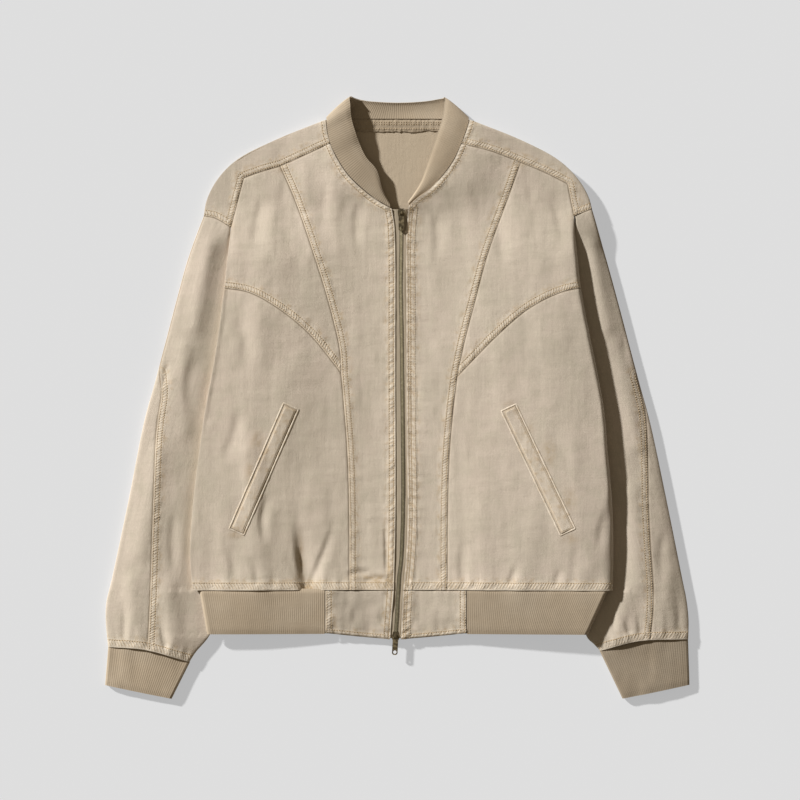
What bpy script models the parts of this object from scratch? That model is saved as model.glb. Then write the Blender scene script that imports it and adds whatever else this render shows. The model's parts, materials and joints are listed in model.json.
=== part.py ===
"""Varsity jacket of washed cotton canvas, laid flat on its back with the front up.

The jacket lies in the XY plane: +X is the side that is on the right when one looks down at
it, +Y points from the hem to the collar, and +Z is up. The origin is the middle of its
outline on the surface it rests on. Every table below is in millimetres, because a maker
writes a garment's sizes so; meshes are made in metres.

Layers from the surface upwards: each sleeve is a flattened tube whose inner half is tucked
under the body; the back panel lies on the surface and climbs over the tucked sleeves; the
front panels lie on the back panel, fuller along the sides; the ribs, the collar, the zip and
the pocket welts close it.
"""

import math
from collections import namedtuple

import bmesh
import bpy
import numpy as np
from mathutils import Vector
from mathutils.bvhtree import BVHTree

MM = 0.001

# ------------------------------------------------------------------ cloth and stack sizes
CANVAS = 1.5          # wall of one canvas layer
RIB = 2.4             # wall of the doubled rib knit
TAPE = 0.8            # zip tape
HALF_SEAM = 0.2       # each piece stops this far short of its seam line
LAID_ON = 0.3         # clearance of a piece that lies on a panel
BODY_STACK = 4.6      # back layer, air and front layer where the front lies lowest
SLEEVE_PRESSED = 7.4  # height of a sleeve where the body lies on it
SLEEVE_LIFT = 8.1     # height of the back panel's underside over a tucked sleeve
TUCK_FALL = 45.0      # the back panel comes down to the surface over this width
BODY_ROLL = 5.0       # radius of the fold along the body's sides
SHOULDER_ROLL = 4.5   # radius of the fold over the shoulders
SLEEVE_ROLL = 4.5     # radius of the fold along the sleeves
CUFF_ROLL = 3.4       # radius of the fold along the cuffs
CUFF_HEIGHT = 7.2     # a laid cuff, two rib walls and the air between them
HEM_Y = -240.6        # seam between the body and the hem rib
RIB_TOP_Y = -241.2
RIB_LOW_Y = -295.6
COVER_CLEAR = 1.5     # a covered sleeve is pressed flat this far outside the body's edge
ZIP_HALF = 2.1        # half the width of the closed chain

# ------------------------------------------------------------------ short tables of the cut
Point = namedtuple("Point", "x y")
Fold = namedtuple("Fold", "x0 y0 x1 y1 width height")
BandSection = namedtuple("BandSection", "base_x base_y base_z top_x top_y top_z")
SideCut = namedtuple(
    "SideCut",
    "sign body_edge tucked_edge princess_low princess_high chest_seam front_edge "
    "neckline neck_side yoke_seam_centre yoke_seam_chest armhole sleeve_seam shoulder "
    "sleeve_outer sleeve_inner cuff_seam cuff_end outer_seam rib_edge tab_bottom welt",
)


def rows(*pairs):
    """Points from (x, y) pairs."""
    return [Point(*pair) for pair in pairs]


LEFT = SideCut(
    sign=-1,
    body_edge=rows((-255.3, -240.6), (-258.8, -200), (-254.6, -128), (-247.8, -71.5),
                   (-239.9, -15), (-230.6, 35), (-223.7, 78.5), (-216.3, 135),
                   (-211.8, 178.5), (-208.2, 213.5)),
    tucked_edge=rows((-236, -300), (-225, -275), (-212, -245), (-196, -200), (-178, -150),
                     (-162, -100), (-149, -50), (-140, 0), (-158, 50), (-186, 110),
                     (-204, 150), (-211, 166), (-212.6, 180), (-212, 192), (-209, 213)),
    princess_low=rows((-60.3, -240.6), (-60.5, -150), (-62.6, -71.5), (-66.6, -15), (-70.5, 31)),
    princess_high=rows((-70.5, 31), (-72.5, 62), (-88, 126), (-101.6, 170), (-127.8, 246),
                       (-146.8, 290)),
    chest_seam=rows((-216, 137), (-184, 131), (-146.6, 110), (-109, 78.5), (-70.5, 31)),
    front_edge=rows((-4.3, -240.6), (-3.4, -209), (-2.2, -152), (-2.4, 60), (-2.4, 178),
                    (-3.6, 216), (-6.8, 236.4)),
    neckline=rows((-84.3, 318), (-76.9, 301.6), (-62.8, 279.8), (-45.3, 262.2),
                  (-25.9, 247.2), (-6.8, 236.4)),
    neck_side=rows((-84.3, 318), (-87.9, 333), (-89.7, 347.9)),
    yoke_seam_centre=rows((-146.8, 290), (-117.8, 302.9), (-84.3, 318)),
    yoke_seam_chest=rows((-192.4, 275.4), (-170, 283.4), (-146.8, 290)),
    armhole=rows((-208.2, 213.5), (-199.4, 248.5), (-192.4, 275.4)),
    sleeve_seam=rows((-242.4, 228), (-227.8, 224.8), (-208.2, 213.5)),
    shoulder=rows((-242.4, 228), (-239.1, 247), (-226.6, 272), (-202.8, 297), (-155.3, 322),
                  (-89.7, 347.9)),
    sleeve_outer=rows((-242.4, 228), (-262.8, 172), (-276.6, 122), (-302.8, 22),
                      (-316.6, -28), (-336.6, -128), (-357.8, -228), (-364.4, -256),
                      (-365.3, -278), (-362.2, -312)),
    sleeve_inner=rows((-208.2, 213.5), (-212.4, 192), (-212.6, 180), (-204, 150),
                      (-186, 110), (-158, 50), (-140, 0), (-149, -50), (-162, -100),
                      (-178, -150), (-196, -200), (-212, -245), (-225, -275),
                      (-236, -300), (-252, -319), (-259.7, -331)),
    cuff_seam=rows((-362.2, -312), (-315.3, -315.4), (-259.7, -331)),
    cuff_end=rows((-366.2, -360), (-325.3, -368.6), (-282.8, -377.2)),
    outer_seam=rows((-290, 31), (-300.3, -24), (-304.3, -96.5), (-306.8, -168),
                    (-309.1, -240), (-311.2, -288), (-312.8, -316)),
    rib_edge=rows((-237.8, -295), (-247.2, -241.2)),
    tab_bottom=rows((-90.3, -294.6), (-50, -299), (-8.9, -302.6)),
    welt=rows((-133.4, -12.1), (-200, -166.1)),
)

RIGHT = SideCut(
    sign=1,
    body_edge=rows((269.2, -240.6), (269.9, -190), (268.2, -128), (263.1, -71.5),
                   (258.2, -15), (249.6, 33), (240.3, 78.5), (229.6, 135),
                   (224.9, 178.5), (220.7, 227.2)),
    tucked_edge=rows((237, -300), (232, -275), (224, -245), (210, -200), (193, -150),
                     (176, -100), (162, -50), (152, 0), (170, 50), (198, 110),
                     (217, 150), (224.4, 166), (225.7, 180), (224.8, 195), (221.5, 227)),
    princess_low=rows((62.6, -240.6), (62.8, -150), (65.1, -71.5), (69.9, -15), (74.9, 26.5)),
    princess_high=rows((74.9, 26.5), (84, 70), (97.9, 123.5), (113.4, 181), (143.4, 263.5),
                       (154.1, 294.5)),
    chest_seam=rows((229.4, 137), (203.4, 131), (165.9, 112.3), (128.4, 81), (74.9, 26.5)),
    front_edge=rows((6.9, -240.6), (10.3, -203), (12.6, -150), (11.3, -28), (10.9, 122),
                    (10.9, 205), (14, 239.9)),
    neckline=rows((80.2, 317.5), (69.7, 295.2), (55.4, 276), (39.4, 259.8), (26, 250.2),
                  (14, 239.9)),
    neck_side=rows((80.2, 317.5), (86, 333), (90.4, 347.9)),
    yoke_seam_centre=rows((154.1, 294.5), (118.4, 307.9), (80.2, 317.5)),
    yoke_seam_chest=rows((212.8, 267.5), (184, 282), (154.1, 294.5)),
    armhole=rows((220.7, 227.2), (216.6, 247.2), (212.8, 267.5)),
    sleeve_seam=rows((243.4, 236), (232, 231.6), (220.7, 227.2)),
    shoulder=rows((243.4, 236), (239.7, 250), (227.2, 272), (202.2, 297), (155.9, 322),
                  (90.4, 347.9)),
    sleeve_outer=rows((243.4, 236), (262.2, 172), (275.9, 122), (302.2, 22), (315.9, -28),
                      (337.2, -128), (357.2, -228), (362.4, -254), (364.8, -278),
                      (364.4, -302.3)),
    sleeve_inner=rows((220.7, 227.2), (225.2, 195), (225.9, 180), (217, 150), (198, 110),
                      (170, 50), (152, 0), (162, -50), (176, -100), (193, -150),
                      (210, -200), (224, -245), (232, -275), (237, -300),
                      (246, -309), (253.4, -317)),
    cuff_seam=rows((364.4, -302.3), (301.4, -304.4), (253.4, -317)),
    cuff_end=rows((366.2, -359.6), (324.7, -368.4), (282.2, -377)),
    outer_seam=rows((299, 28.5), (309.7, -10), (313.4, -73), (314.7, -144), (318.2, -204),
                    (320.6, -252), (316, -304)),
    rib_edge=rows((237.4, -297), (262.6, -241.2)),
    tab_bottom=rows((86.6, -294.6), (46, -299), (4.3, -302.6)),
    welt=rows((139.7, -13.6), (212.1, -165.9)),
)

ZIP_LINE = rows((5.1, 237), (4.9, 195), (4.2, 142), (5.1, 90), (5.8, 37), (6.6, -30),
                (7.2, -120), (6.4, -165), (4.8, -202), (2.0, -226), (0.4, -256),
                (-1.6, -290), (-2.3, -303))

# Collar, from the front end at the zip round the fold beside the neck to the back's middle.
# "base" is the neck seam and "top" the free edge of its outer face.
COLLAR_LEFT = [
    BandSection(-9.0, 238.4, 8.3, -9.4, 243.4, 9.0),
    BandSection(-25.3, 248.0, 9.0, -17.5, 258.0, 10.8),
    BandSection(-44.6, 262.9, 9.8, -25.9, 285.0, 12.6),
    BandSection(-62.1, 280.3, 10.4, -38.8, 300.5, 13.6),
    BandSection(-76.2, 302.0, 10.8, -47.2, 317.6, 14.2),
    BandSection(-83.8, 318.2, 11.0, -52.4, 332.0, 14.4),
    BandSection(-87.2, 332.6, 10.8, -57.0, 348.0, 14.2),
    BandSection(-88.5, 346.6, 9.8, -58.9, 366.0, 13.6),
    BandSection(-88.0, 352.0, 5.8, -59.3, 377.0, 9.6),
    BandSection(-84.0, 351.4, 1.4, -56.6, 375.8, 5.4),
    BandSection(-70.0, 350.0, 0.3, -46.0, 373.6, 4.8),
    BandSection(-36.0, 349.8, 0.3, -26.0, 371.2, 5.4),
]
COLLAR_BACK = BandSection(0.0, 349.8, 0.3, 0.0, 370.2, 5.8)
COLLAR_RIGHT = [
    BandSection(14.8, 241.2, 9.0, 13.6, 245.4, 9.6),
    BandSection(25.5, 250.9, 9.8, 21.6, 256.6, 10.6),
    BandSection(38.8, 260.5, 9.8, 29.9, 270.8, 11.8),
    BandSection(54.8, 276.5, 10.4, 37.2, 291.6, 13.4),
    BandSection(69.0, 295.7, 10.8, 43.6, 311.0, 14.2),
    BandSection(79.6, 317.7, 11.0, 50.3, 330.8, 14.4),
    BandSection(85.4, 333.1, 10.8, 55.8, 348.0, 14.2),
    BandSection(89.2, 346.6, 9.8, 58.7, 366.0, 13.6),
    BandSection(88.7, 352.0, 5.8, 59.7, 377.0, 9.6),
    BandSection(84.7, 351.4, 1.4, 57.0, 375.8, 5.4),
    BandSection(70.6, 350.0, 0.3, 46.4, 373.6, 4.8),
    BandSection(36.4, 349.8, 0.3, 26.4, 371.2, 5.4),
]

# Largest soft folds of the front, each a ridge along a line, with its half width and height.
FRONT_FOLDS = [
    Fold(-182, -70, -172, -236, 20, 3.0),
    Fold(-104, -120, -96, -238, 17, 2.8),
    Fold(-134, 30, -142, -70, 20, 2.0),
    Fold(-34, -150, -26, -238, 15, 2.0),
    Fold(-46, 190, -38, -20, 24, 1.8),
    Fold(-158, 232, -172, 70, 24, 2.0),
    Fold(40, 170, 36, -60, 22, 1.8),
    Fold(98, -90, 104, -238, 20, 2.6),
    Fold(168, -160, 152, -240, 18, 3.0),
    Fold(222, -60, 240, -205, 20, 2.6),
    Fold(150, 220, 184, 70, 24, 2.2),
    Fold(128, 60, 132, -30, 22, 1.6),
]
SLEEVE_FOLDS = [
    Fold(-236, 190, -252, 90, 12, 1.8),
    Fold(-268, 60, -262, -40, 13, 1.6),
    Fold(-300, -70, -322, -190, 14, 2.0),
    Fold(-262, -120, -268, -230, 14, 1.8),
    Fold(-334, -230, -330, -296, 11, 1.8),
    Fold(-286, -240, -276, -312, 12, 2.0),
    Fold(246, 190, 262, 90, 12, 1.8),
    Fold(290, 40, 300, -60, 13, 1.8),
    Fold(330, -90, 342, -190, 12, 1.6),
    Fold(292, -120, 300, -230, 14, 2.0),
    Fold(342, -220, 336, -286, 11, 1.8),
    Fold(284, -240, 274, -300, 12, 2.2),
]

# ------------------------------------------------------------------ hardware sizes
SLIDER_WIDTH = 9.0
SLIDER_LENGTH = 11.5
SLIDER_PLATE = 1.6
ARCH_WIDTH = 2.0
ARCH_INNER = 1.25
ARCH_OUTER = 2.35
PULL_BAR = 0.6        # half the thickness of a pull tab
PULL_WIDTH = 7.0
EYE_HALF = 1.6        # half the width of the eye that the arch passes through
EYE_REACH = 3.3
TOP_PULL_LENGTH = 22.6
BOTTOM_PULL_LENGTH = 23.4
HOLE_RADIUS = 2.2
HOLE_RIM = 1.3        # metal between the hole and the tab's end
TOP_SLIDER_Y = 231.1
BOTTOM_SLIDER_Y = -298.4
BOTTOM_LEAN = math.radians(-3.0)   # the zip leans a little at the hem

Finish = namedtuple("Finish", "colour roughness metallic")
CANVAS_FINISH = Finish((0.48, 0.40, 0.29), 0.85, 0.0)
RIB_FINISH = Finish((0.30, 0.235, 0.16), 0.9, 0.0)
TAPE_FINISH = Finish((0.34, 0.29, 0.19), 0.85, 0.0)
BRASS_FINISH = Finish((0.13, 0.115, 0.085), 0.38, 0.9)


# ------------------------------------------------------------------ plan curves
class PlanCurve:
    """A smooth plan line through a few points, read by its share of length or by its height."""

    SAMPLES = 24

    def __init__(self, points):
        pts = [np.array(p, dtype=float) for p in points]
        first = 2 * pts[0] - pts[1]
        last = 2 * pts[-1] - pts[-2]
        pts = [first] + pts + [last]
        dense = []
        for p0, p1, p2, p3 in zip(pts, pts[1:], pts[2:], pts[3:]):
            dense.extend(self._span(p0, p1, p2, p3))
        dense.append(pts[-2])
        self.points = np.array(dense)
        steps = np.linalg.norm(np.diff(self.points, axis=0), axis=1)
        self.length = np.concatenate([[0.0], np.cumsum(steps)])

    def _span(self, p0, p1, p2, p3):
        """Centripetal Catmull-Rom samples from p1 up to, but not including, p2."""
        t1 = math.sqrt(np.linalg.norm(p1 - p0))
        t2 = t1 + math.sqrt(np.linalg.norm(p2 - p1))
        t3 = t2 + math.sqrt(np.linalg.norm(p3 - p2))
        for t in np.linspace(t1, t2, self.SAMPLES, endpoint=False):
            a1 = (t1 - t) / t1 * p0 + t / t1 * p1
            a2 = (t2 - t) / (t2 - t1) * p1 + (t - t1) / (t2 - t1) * p2
            a3 = (t3 - t) / (t3 - t2) * p2 + (t - t2) / (t3 - t2) * p3
            b1 = (t2 - t) / t2 * a1 + t / t2 * a2
            b2 = (t3 - t) / (t3 - t1) * a2 + (t - t1) / (t3 - t1) * a3
            yield (t2 - t) / (t2 - t1) * b1 + (t - t1) / (t2 - t1) * b2

    def at(self, share):
        """Point at a share of the line's length."""
        goal = min(max(share, 0.0), 1.0) * self.length[-1]
        x = np.interp(goal, self.length, self.points[:, 0])
        y = np.interp(goal, self.length, self.points[:, 1])
        return np.array([x, y])

    def x_at(self, y):
        """Where the line crosses the height y; it must run steadily up or down."""
        order = np.argsort(self.points[:, 1])
        return float(np.interp(y, self.points[order, 1], self.points[order, 0]))


class SubCurve:
    """The stretch of a plan line between two heights."""

    def __init__(self, curve, y_start, y_end):
        self.curve = curve
        self.y_start = y_start
        self.y_end = y_end

    def at(self, share):
        """Point at a share of the height between the ends."""
        y = self.y_start + share * (self.y_end - self.y_start)
        return np.array([self.curve.x_at(y), y])


class JoinedCurve:
    """Plan lines end to end, each given a share of the parameter by its number of steps."""

    def __init__(self, *parts):
        self.curves = [curve for curve, steps in parts]
        total = sum(steps for curve, steps in parts)
        self.bounds = np.concatenate([[0.0], np.cumsum([s / total for _, s in parts])])

    def at(self, share):
        """Point at a parameter from 0 to 1."""
        for curve, low, high in zip(self.curves, self.bounds, self.bounds[1:]):
            if share <= high + 1e-9:
                return curve.at((share - low) / (high - low))
        return self.curves[-1].at(1.0)


class Reversed:
    """A plan line read from its other end."""

    def __init__(self, curve):
        self.curve = curve

    def at(self, share):
        """Point at a parameter from 0 to 1, counted from the far end."""
        return self.curve.at(1.0 - share)


def straight(start, end):
    """Straight plan line between two points."""
    return PlanCurve([start, end])


def coons(bottom, top, left, right, u, v):
    """Point of the patch between four plan lines."""
    ruled_v = (1 - v) * bottom.at(u) + v * top.at(u)
    ruled_u = (1 - u) * left.at(v) + u * right.at(v)
    corners = (
        (1 - u) * (1 - v) * bottom.at(0) + u * (1 - v) * bottom.at(1)
        + (1 - u) * v * top.at(0) + u * v * top.at(1)
    )
    return ruled_v + ruled_u - corners


# ------------------------------------------------------------------ heights of the layers
def ease(value):
    """Smooth step from 0 to 1."""
    t = min(max(value, 0.0), 1.0)
    return t * t * (3 - 2 * t)


def bump(distance, half_width):
    """Soft bell, 1 at no distance."""
    return math.exp(-((distance / half_width) ** 2))


def segment_distance(x, y, fold):
    """Plan distance from a point to a fold's line."""
    ax, ay = fold.x1 - fold.x0, fold.y1 - fold.y0
    share = ((x - fold.x0) * ax + (y - fold.y0) * ay) / (ax * ax + ay * ay)
    share = min(max(share, 0.0), 1.0)
    return math.hypot(x - fold.x0 - share * ax, y - fold.y0 - share * ay)


def folds_at(x, y, folds):
    """Height that a table of soft ridges adds."""
    return sum(f.height * bump(segment_distance(x, y, f), f.width) for f in folds)


BODY_EDGE = {cut.sign: PlanCurve(cut.body_edge) for cut in (LEFT, RIGHT)}
TUCKED_EDGE = {cut.sign: PlanCurve(cut.tucked_edge) for cut in (LEFT, RIGHT)}
SLEEVE_OUTER = {cut.sign: PlanCurve(cut.sleeve_outer) for cut in (LEFT, RIGHT)}
SLEEVE_INNER = {cut.sign: PlanCurve(cut.sleeve_inner) for cut in (LEFT, RIGHT)}
RIB_EDGE = {cut.sign: PlanCurve(cut.rib_edge) for cut in (LEFT, RIGHT)}
ZIP_CURVE = PlanCurve(ZIP_LINE)
NECK_CENTRE = Point(1.0, 330.0)
ARMHOLE_FADE = (165.0, 252.0)   # heights between which the lift over the sleeves fades out


def support(x, y):
    """Height of the surface that the body's back lies on: the floor or a tucked sleeve."""
    height = 0.0
    fade = 1 - ease((y - ARMHOLE_FADE[0]) / (ARMHOLE_FADE[1] - ARMHOLE_FADE[0]))
    for sign, edge in TUCKED_EDGE.items():
        inside = (edge.x_at(y) - x) * sign
        height = max(height, SLEEVE_LIFT * fade * (1 - ease((inside - 5) / TUCK_FALL)))
    return height


def front_top(x, y):
    """Height of the upper face of the body's front, before its edges roll over."""
    loft = 0.6 + folds_at(x, y, FRONT_FOLDS)
    for sign, edge in BODY_EDGE.items():
        inside = (edge.x_at(y) - x) * sign
        fullness = 6.4 - 2.6 * ease((y - 60) / 150) - 2.2 * ease((-150 - y) / 90)
        loft += fullness * bump(inside, 58)
    loft += 1.9 * bump(x - ZIP_CURVE.x_at(y), 26)
    loft += 1.2 * bump(y + 262, 34)
    neck = math.hypot((x - NECK_CENTRE.x) * 0.95, y - NECK_CENTRE.y)
    loft += 5.6 * bump(max(neck - 80, 0), 46) * ease((y - 205) / 70)
    return support(x, y) + BODY_STACK + loft


def cover_edge(sign, y):
    """Where the body or its rib begins to cover a sleeve; below the rib, the sleeve's edge."""
    if y > HEM_Y:
        edge = BODY_EDGE[sign].x_at(y)
    elif y > RIB_LOW_Y - 2:
        edge = RIB_EDGE[sign].x_at(y)
    else:
        return SLEEVE_INNER[sign].x_at(y)
    return edge + sign * COVER_CLEAR


def sleeve_top(sign, x, y):
    """Height of the upper face of a sleeve, before its edges roll under."""
    cut = LEFT if sign < 0 else RIGHT
    outer = SLEEVE_OUTER[sign].x_at(y)
    share = min(max((x - outer) / (cover_edge(sign, y) - outer), 0.0), 1.0)
    crown = 2.6 + 1.6 * ease((-y - 120) / 140)
    own = SLEEVE_PRESSED + crown * math.sin(math.pi * share)
    own += folds_at(x, y, SLEEVE_FOLDS) * math.sin(math.pi * share)
    seam_y = cut.sleeve_seam[0].y
    blend = 1 - ease((seam_y - y) / 55)
    return own + (front_top(x, y) - own) * blend


def rolled(top, bottom, share, upper):
    """Height beside a folded edge: share is the sine of the roll, 0 at the edge, 1 past it."""
    middle = (top + bottom) / 2
    if upper:
        return middle + HALF_SEAM + (top - middle - HALF_SEAM) * share
    return middle - HALF_SEAM - (middle - bottom - HALF_SEAM) * share


def roll_sine(distance, radius):
    """Sine of the roll at a plan distance from a folded edge."""
    if distance >= radius:
        return 1.0
    part = 1 - max(distance, 0.0) / radius
    return math.sqrt(max(1 - part * part, 0.0))


def roll_normal(inward, half_height, radius, sine, upper):
    """Outward normal of a roll, or no normal past it, where the mesh gives its own."""
    if sine > 0.999:
        return 0.0, 0.0, 0.0
    level = half_height * math.sqrt(1 - sine * sine)
    rise = radius * sine * (1 if upper else -1)
    length = math.hypot(level, rise)
    return -inward[0] * level / length, -inward[1] * level / length, rise / length


def rolled_point(plan, edge, toward, top, bottom, radius, upper, fullness=1.0):
    """Point and normal of a panel beside its folded edge.

    toward is a plan point on the same line, further in. fullness says how much of the fold
    there is, from 0, sewn flat, to 1.
    """
    distance = np.linalg.norm(np.array(plan) - edge)
    sine = 1 - (1 - roll_sine(distance, radius)) * fullness
    inward = (np.array(toward) - edge) / np.linalg.norm(np.array(toward) - edge)
    z = rolled(top, bottom, sine, upper)
    return (*plan, z, *roll_normal(inward, (top - bottom) / 2, radius, sine, upper))


# Plan distances of the columns inside a roll, as shares of its radius.
ROLL_STEPS = (0.0, 1 - math.cos(math.pi / 6), 1 - math.cos(math.pi / 3), 1.0)


def columns_from_edge(width, radius, flat_steps):
    """Shares of a width: three narrow columns in the roll, then even ones."""
    shares = [step * radius / width for step in ROLL_STEPS]
    first = shares[-1]
    shares += [first + (1 - first) * (i + 1) / flat_steps for i in range(flat_steps)]
    return shares


# ------------------------------------------------------------------ meshes
def finish_material(name, finish):
    """A plain material with the given colour, roughness and metallic value."""
    material = bpy.data.materials.get(name) or bpy.data.materials.new(name)
    material.use_nodes = True
    shader = material.node_tree.nodes["Principled BSDF"]
    shader.inputs["Base Color"].default_value = (*finish.colour, 1.0)
    shader.inputs["Roughness"].default_value = finish.roughness
    shader.inputs["Metallic"].default_value = finish.metallic
    return material


def add_object(name, mesh, finish):
    """Link a mesh as a named object with its own material, shaded smooth."""
    mesh.materials.append(finish_material(name + "_finish", finish))
    mesh.shade_smooth()
    mesh.set_sharp_from_angle(angle=math.radians(40))
    piece = bpy.data.objects.new(name, mesh)
    bpy.context.scene.collection.objects.link(piece)
    return piece


def inset_seams(grid):
    """Pull the outline of a grid of plan points in by HALF_SEAM, square to each side."""
    result = grid.copy()
    n_rows, n_cols = grid.shape[:2]

    def pull(line, inner, length):
        moved = []
        for i in range(length):
            before, after = line[max(i - 1, 0)][:2], line[min(i + 1, length - 1)][:2]
            tangent = (after - before) / np.linalg.norm(after - before)
            step = inner[i][:2] - line[i][:2]
            square = abs(tangent[0] * step[1] - tangent[1] * step[0])
            moved.append(step * HALF_SEAM / max(square, 1e-6))
        return np.array(moved)

    result[0, :, :2] += pull(grid[0], grid[1], n_cols)
    result[-1, :, :2] += pull(grid[-1], grid[-2], n_cols)
    result[:, 0, :2] += pull(grid[:, 0], grid[:, 1], n_rows)
    result[:, -1, :2] += pull(grid[:, -1], grid[:, -2], n_rows)
    return result


def thicken(build, normals, wall):
    """Give the faces of a bmesh a wall behind them, square to the given normals."""
    build.normal_update()
    faces = list(build.faces)
    borders = [edge for edge in build.edges if edge.is_boundary]
    behind = {}
    for vert in list(build.verts):
        normal = normals.get(vert) or vert.normal
        behind[vert] = build.verts.new(vert.co - normal * wall * MM)
    for face in faces:
        build.faces.new([behind[vert] for vert in reversed(face.verts)])
    for edge in borders:
        loop = edge.link_loops[0]
        start, end = loop.vert, loop.link_loop_next.vert
        build.faces.new((end, start, behind[start], behind[end]))


def sheet_object(name, grids, wall, finish, upward, closed=False):
    """A cloth wall: grids of points on its outer face, thickened towards its inside.

    grids is a list of row-by-column arrays of x, y, z and, where it is given, a normal; they
    may share vertices. upward says which way the outer face looks. closed joins the last
    column to the first, as on a tube.
    """
    mesh = bpy.data.meshes.new(name)
    build = bmesh.new()
    normals = {}
    made = {}
    for grid in grids:
        n_rows, n_cols = grid.shape[:2]
        verts = []
        for row in grid:
            verts.append([])
            for values in row:
                key = tuple(round(float(value), 4) for value in values[:3])
                if key not in made:
                    made[key] = build.verts.new(Vector(values[:3]) * MM)
                    if len(values) > 3 and any(values[3:]):
                        normals[made[key]] = Vector(values[3:])
                verts[-1].append(made[key])
        last = n_cols if closed else n_cols - 1
        for i in range(n_rows - 1):
            for j in range(last):
                k = (j + 1) % n_cols
                corner = (verts[i][j], verts[i][k], verts[i + 1][k], verts[i + 1][j])
                build.faces.new(corner if upward else corner[::-1])
    bmesh.ops.triangulate(build, faces=build.faces)
    thicken(build, normals, wall)
    build.to_mesh(mesh)
    build.free()
    return add_object(name, mesh, finish)


def lift_grid(grid, height):
    """Three columns (x, y, z) from plan points and a height function of row and column."""
    n_rows, n_cols = grid.shape[:2]
    lifted = np.zeros((n_rows, n_cols, 3))
    lifted[:, :, :2] = grid
    for i in range(n_rows):
        for j in range(n_cols):
            lifted[i, j, 2] = height(i, j, *grid[i, j])
    return lifted


def steps(count):
    """Even shares from 0 to 1."""
    return [i / count for i in range(count + 1)]


# ------------------------------------------------------------------ body panels
LOW_ROWS = 9          # rows between the hem and the chest seam
HIGH_EDGE_ROWS = 4    # rows along the free body edge above the chest seam
HIGH_ARM_ROWS = 4     # rows along the armhole, sewn to the yoke
HIGH_ROWS = HIGH_EDGE_ROWS + HIGH_ARM_ROWS
NECK_COLUMNS = 5
YOKE_CENTRE_COLUMNS = 3
YOKE_CHEST_COLUMNS = 3
SIDE_COLUMNS = 8
YOKE_ACROSS = 3


def side_name(cut):
    """Word for the side that a cut table belongs to."""
    return "left" if cut.sign < 0 else "right"


def faces_up(cut):
    """Whether a grid whose columns run outwards to the centre line winds face up."""
    return cut.sign < 0


def front_centre(cut):
    """Front panel between the princess seam and the zip, up to the neck and the yoke."""
    low, high = PlanCurve(cut.princess_low), PlanCurve(cut.princess_high)
    left = JoinedCurve((low, LOW_ROWS), (high, HIGH_ROWS))
    right = PlanCurve(cut.front_edge)
    bottom = straight(cut.princess_low[0], cut.front_edge[0])
    top = JoinedCurve((PlanCurve(cut.yoke_seam_centre), YOKE_CENTRE_COLUMNS),
                      (PlanCurve(cut.neckline), NECK_COLUMNS))
    columns = steps(YOKE_CENTRE_COLUMNS + NECK_COLUMNS)
    plan = np.array([[coons(bottom, top, left, right, u, v) for u in columns]
                     for v in steps(LOW_ROWS + HIGH_ROWS)])
    grid = lift_grid(inset_seams(plan), lambda i, j, x, y: front_top(x, y))
    sheet_object(f"front_center_{side_name(cut)}", [grid], CANVAS, CANVAS_FINISH,
                 faces_up(cut))


def edge_plan(bottom, top, left, right, v_shares, radius, flat_steps):
    """Plan grid whose first columns lie in the roll of its left edge."""
    plan = []
    for v in v_shares:
        width = np.linalg.norm(right.at(v) - left.at(v))
        shares = columns_from_edge(width, radius, flat_steps)
        plan.append([coons(bottom, top, left, right, u, v) for u in shares])
    return np.array(plan)


def lifted_with_edge(plan, radius, fullness):
    """Points of a front panel whose first column is the body's folded edge.

    fullness gives for each row how much of the fold there is, from 0, sewn flat, to 1.
    """
    inset = inset_seams(plan)
    return np.array([
        [rolled_point(p, row[0], row[4], front_top(*p), support(*p), radius, True, amount)
         for p in row]
        for row, amount in zip(inset, fullness)])


def front_side(cut):
    """Lower side panel: from the body's folded side to the princess seam."""
    left = SubCurve(BODY_EDGE[cut.sign], cut.body_edge[0].y, cut.chest_seam[0].y)
    right = PlanCurve(cut.princess_low)
    bottom = straight(cut.body_edge[0], cut.princess_low[0])
    top = PlanCurve(cut.chest_seam)
    plan = edge_plan(bottom, top, left, right, steps(LOW_ROWS), BODY_ROLL, SIDE_COLUMNS)
    grid = lifted_with_edge(plan, BODY_ROLL, [1.0] * len(plan))
    sheet_object(f"front_side_{side_name(cut)}", [grid], CANVAS, CANVAS_FINISH, faces_up(cut))
    return grid


def front_chest(cut):
    """Upper side panel: from the folded side and the armhole to the princess seam."""
    free_edge = SubCurve(BODY_EDGE[cut.sign], cut.chest_seam[0].y, cut.armhole[0].y)
    left = JoinedCurve((free_edge, HIGH_EDGE_ROWS), (PlanCurve(cut.armhole), HIGH_ARM_ROWS))
    right = PlanCurve(cut.princess_high)
    bottom = PlanCurve(cut.chest_seam)
    top = PlanCurve(cut.yoke_seam_chest)
    plan = edge_plan(bottom, top, left, right, steps(HIGH_ROWS), BODY_ROLL, SIDE_COLUMNS)
    fullness = [1.0 if i < HIGH_EDGE_ROWS else 0.0 for i in range(HIGH_ROWS + 1)]
    grid = lifted_with_edge(plan, BODY_ROLL, fullness)
    sheet_object(f"front_chest_{side_name(cut)}", [grid], CANVAS, CANVAS_FINISH, faces_up(cut))


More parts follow.
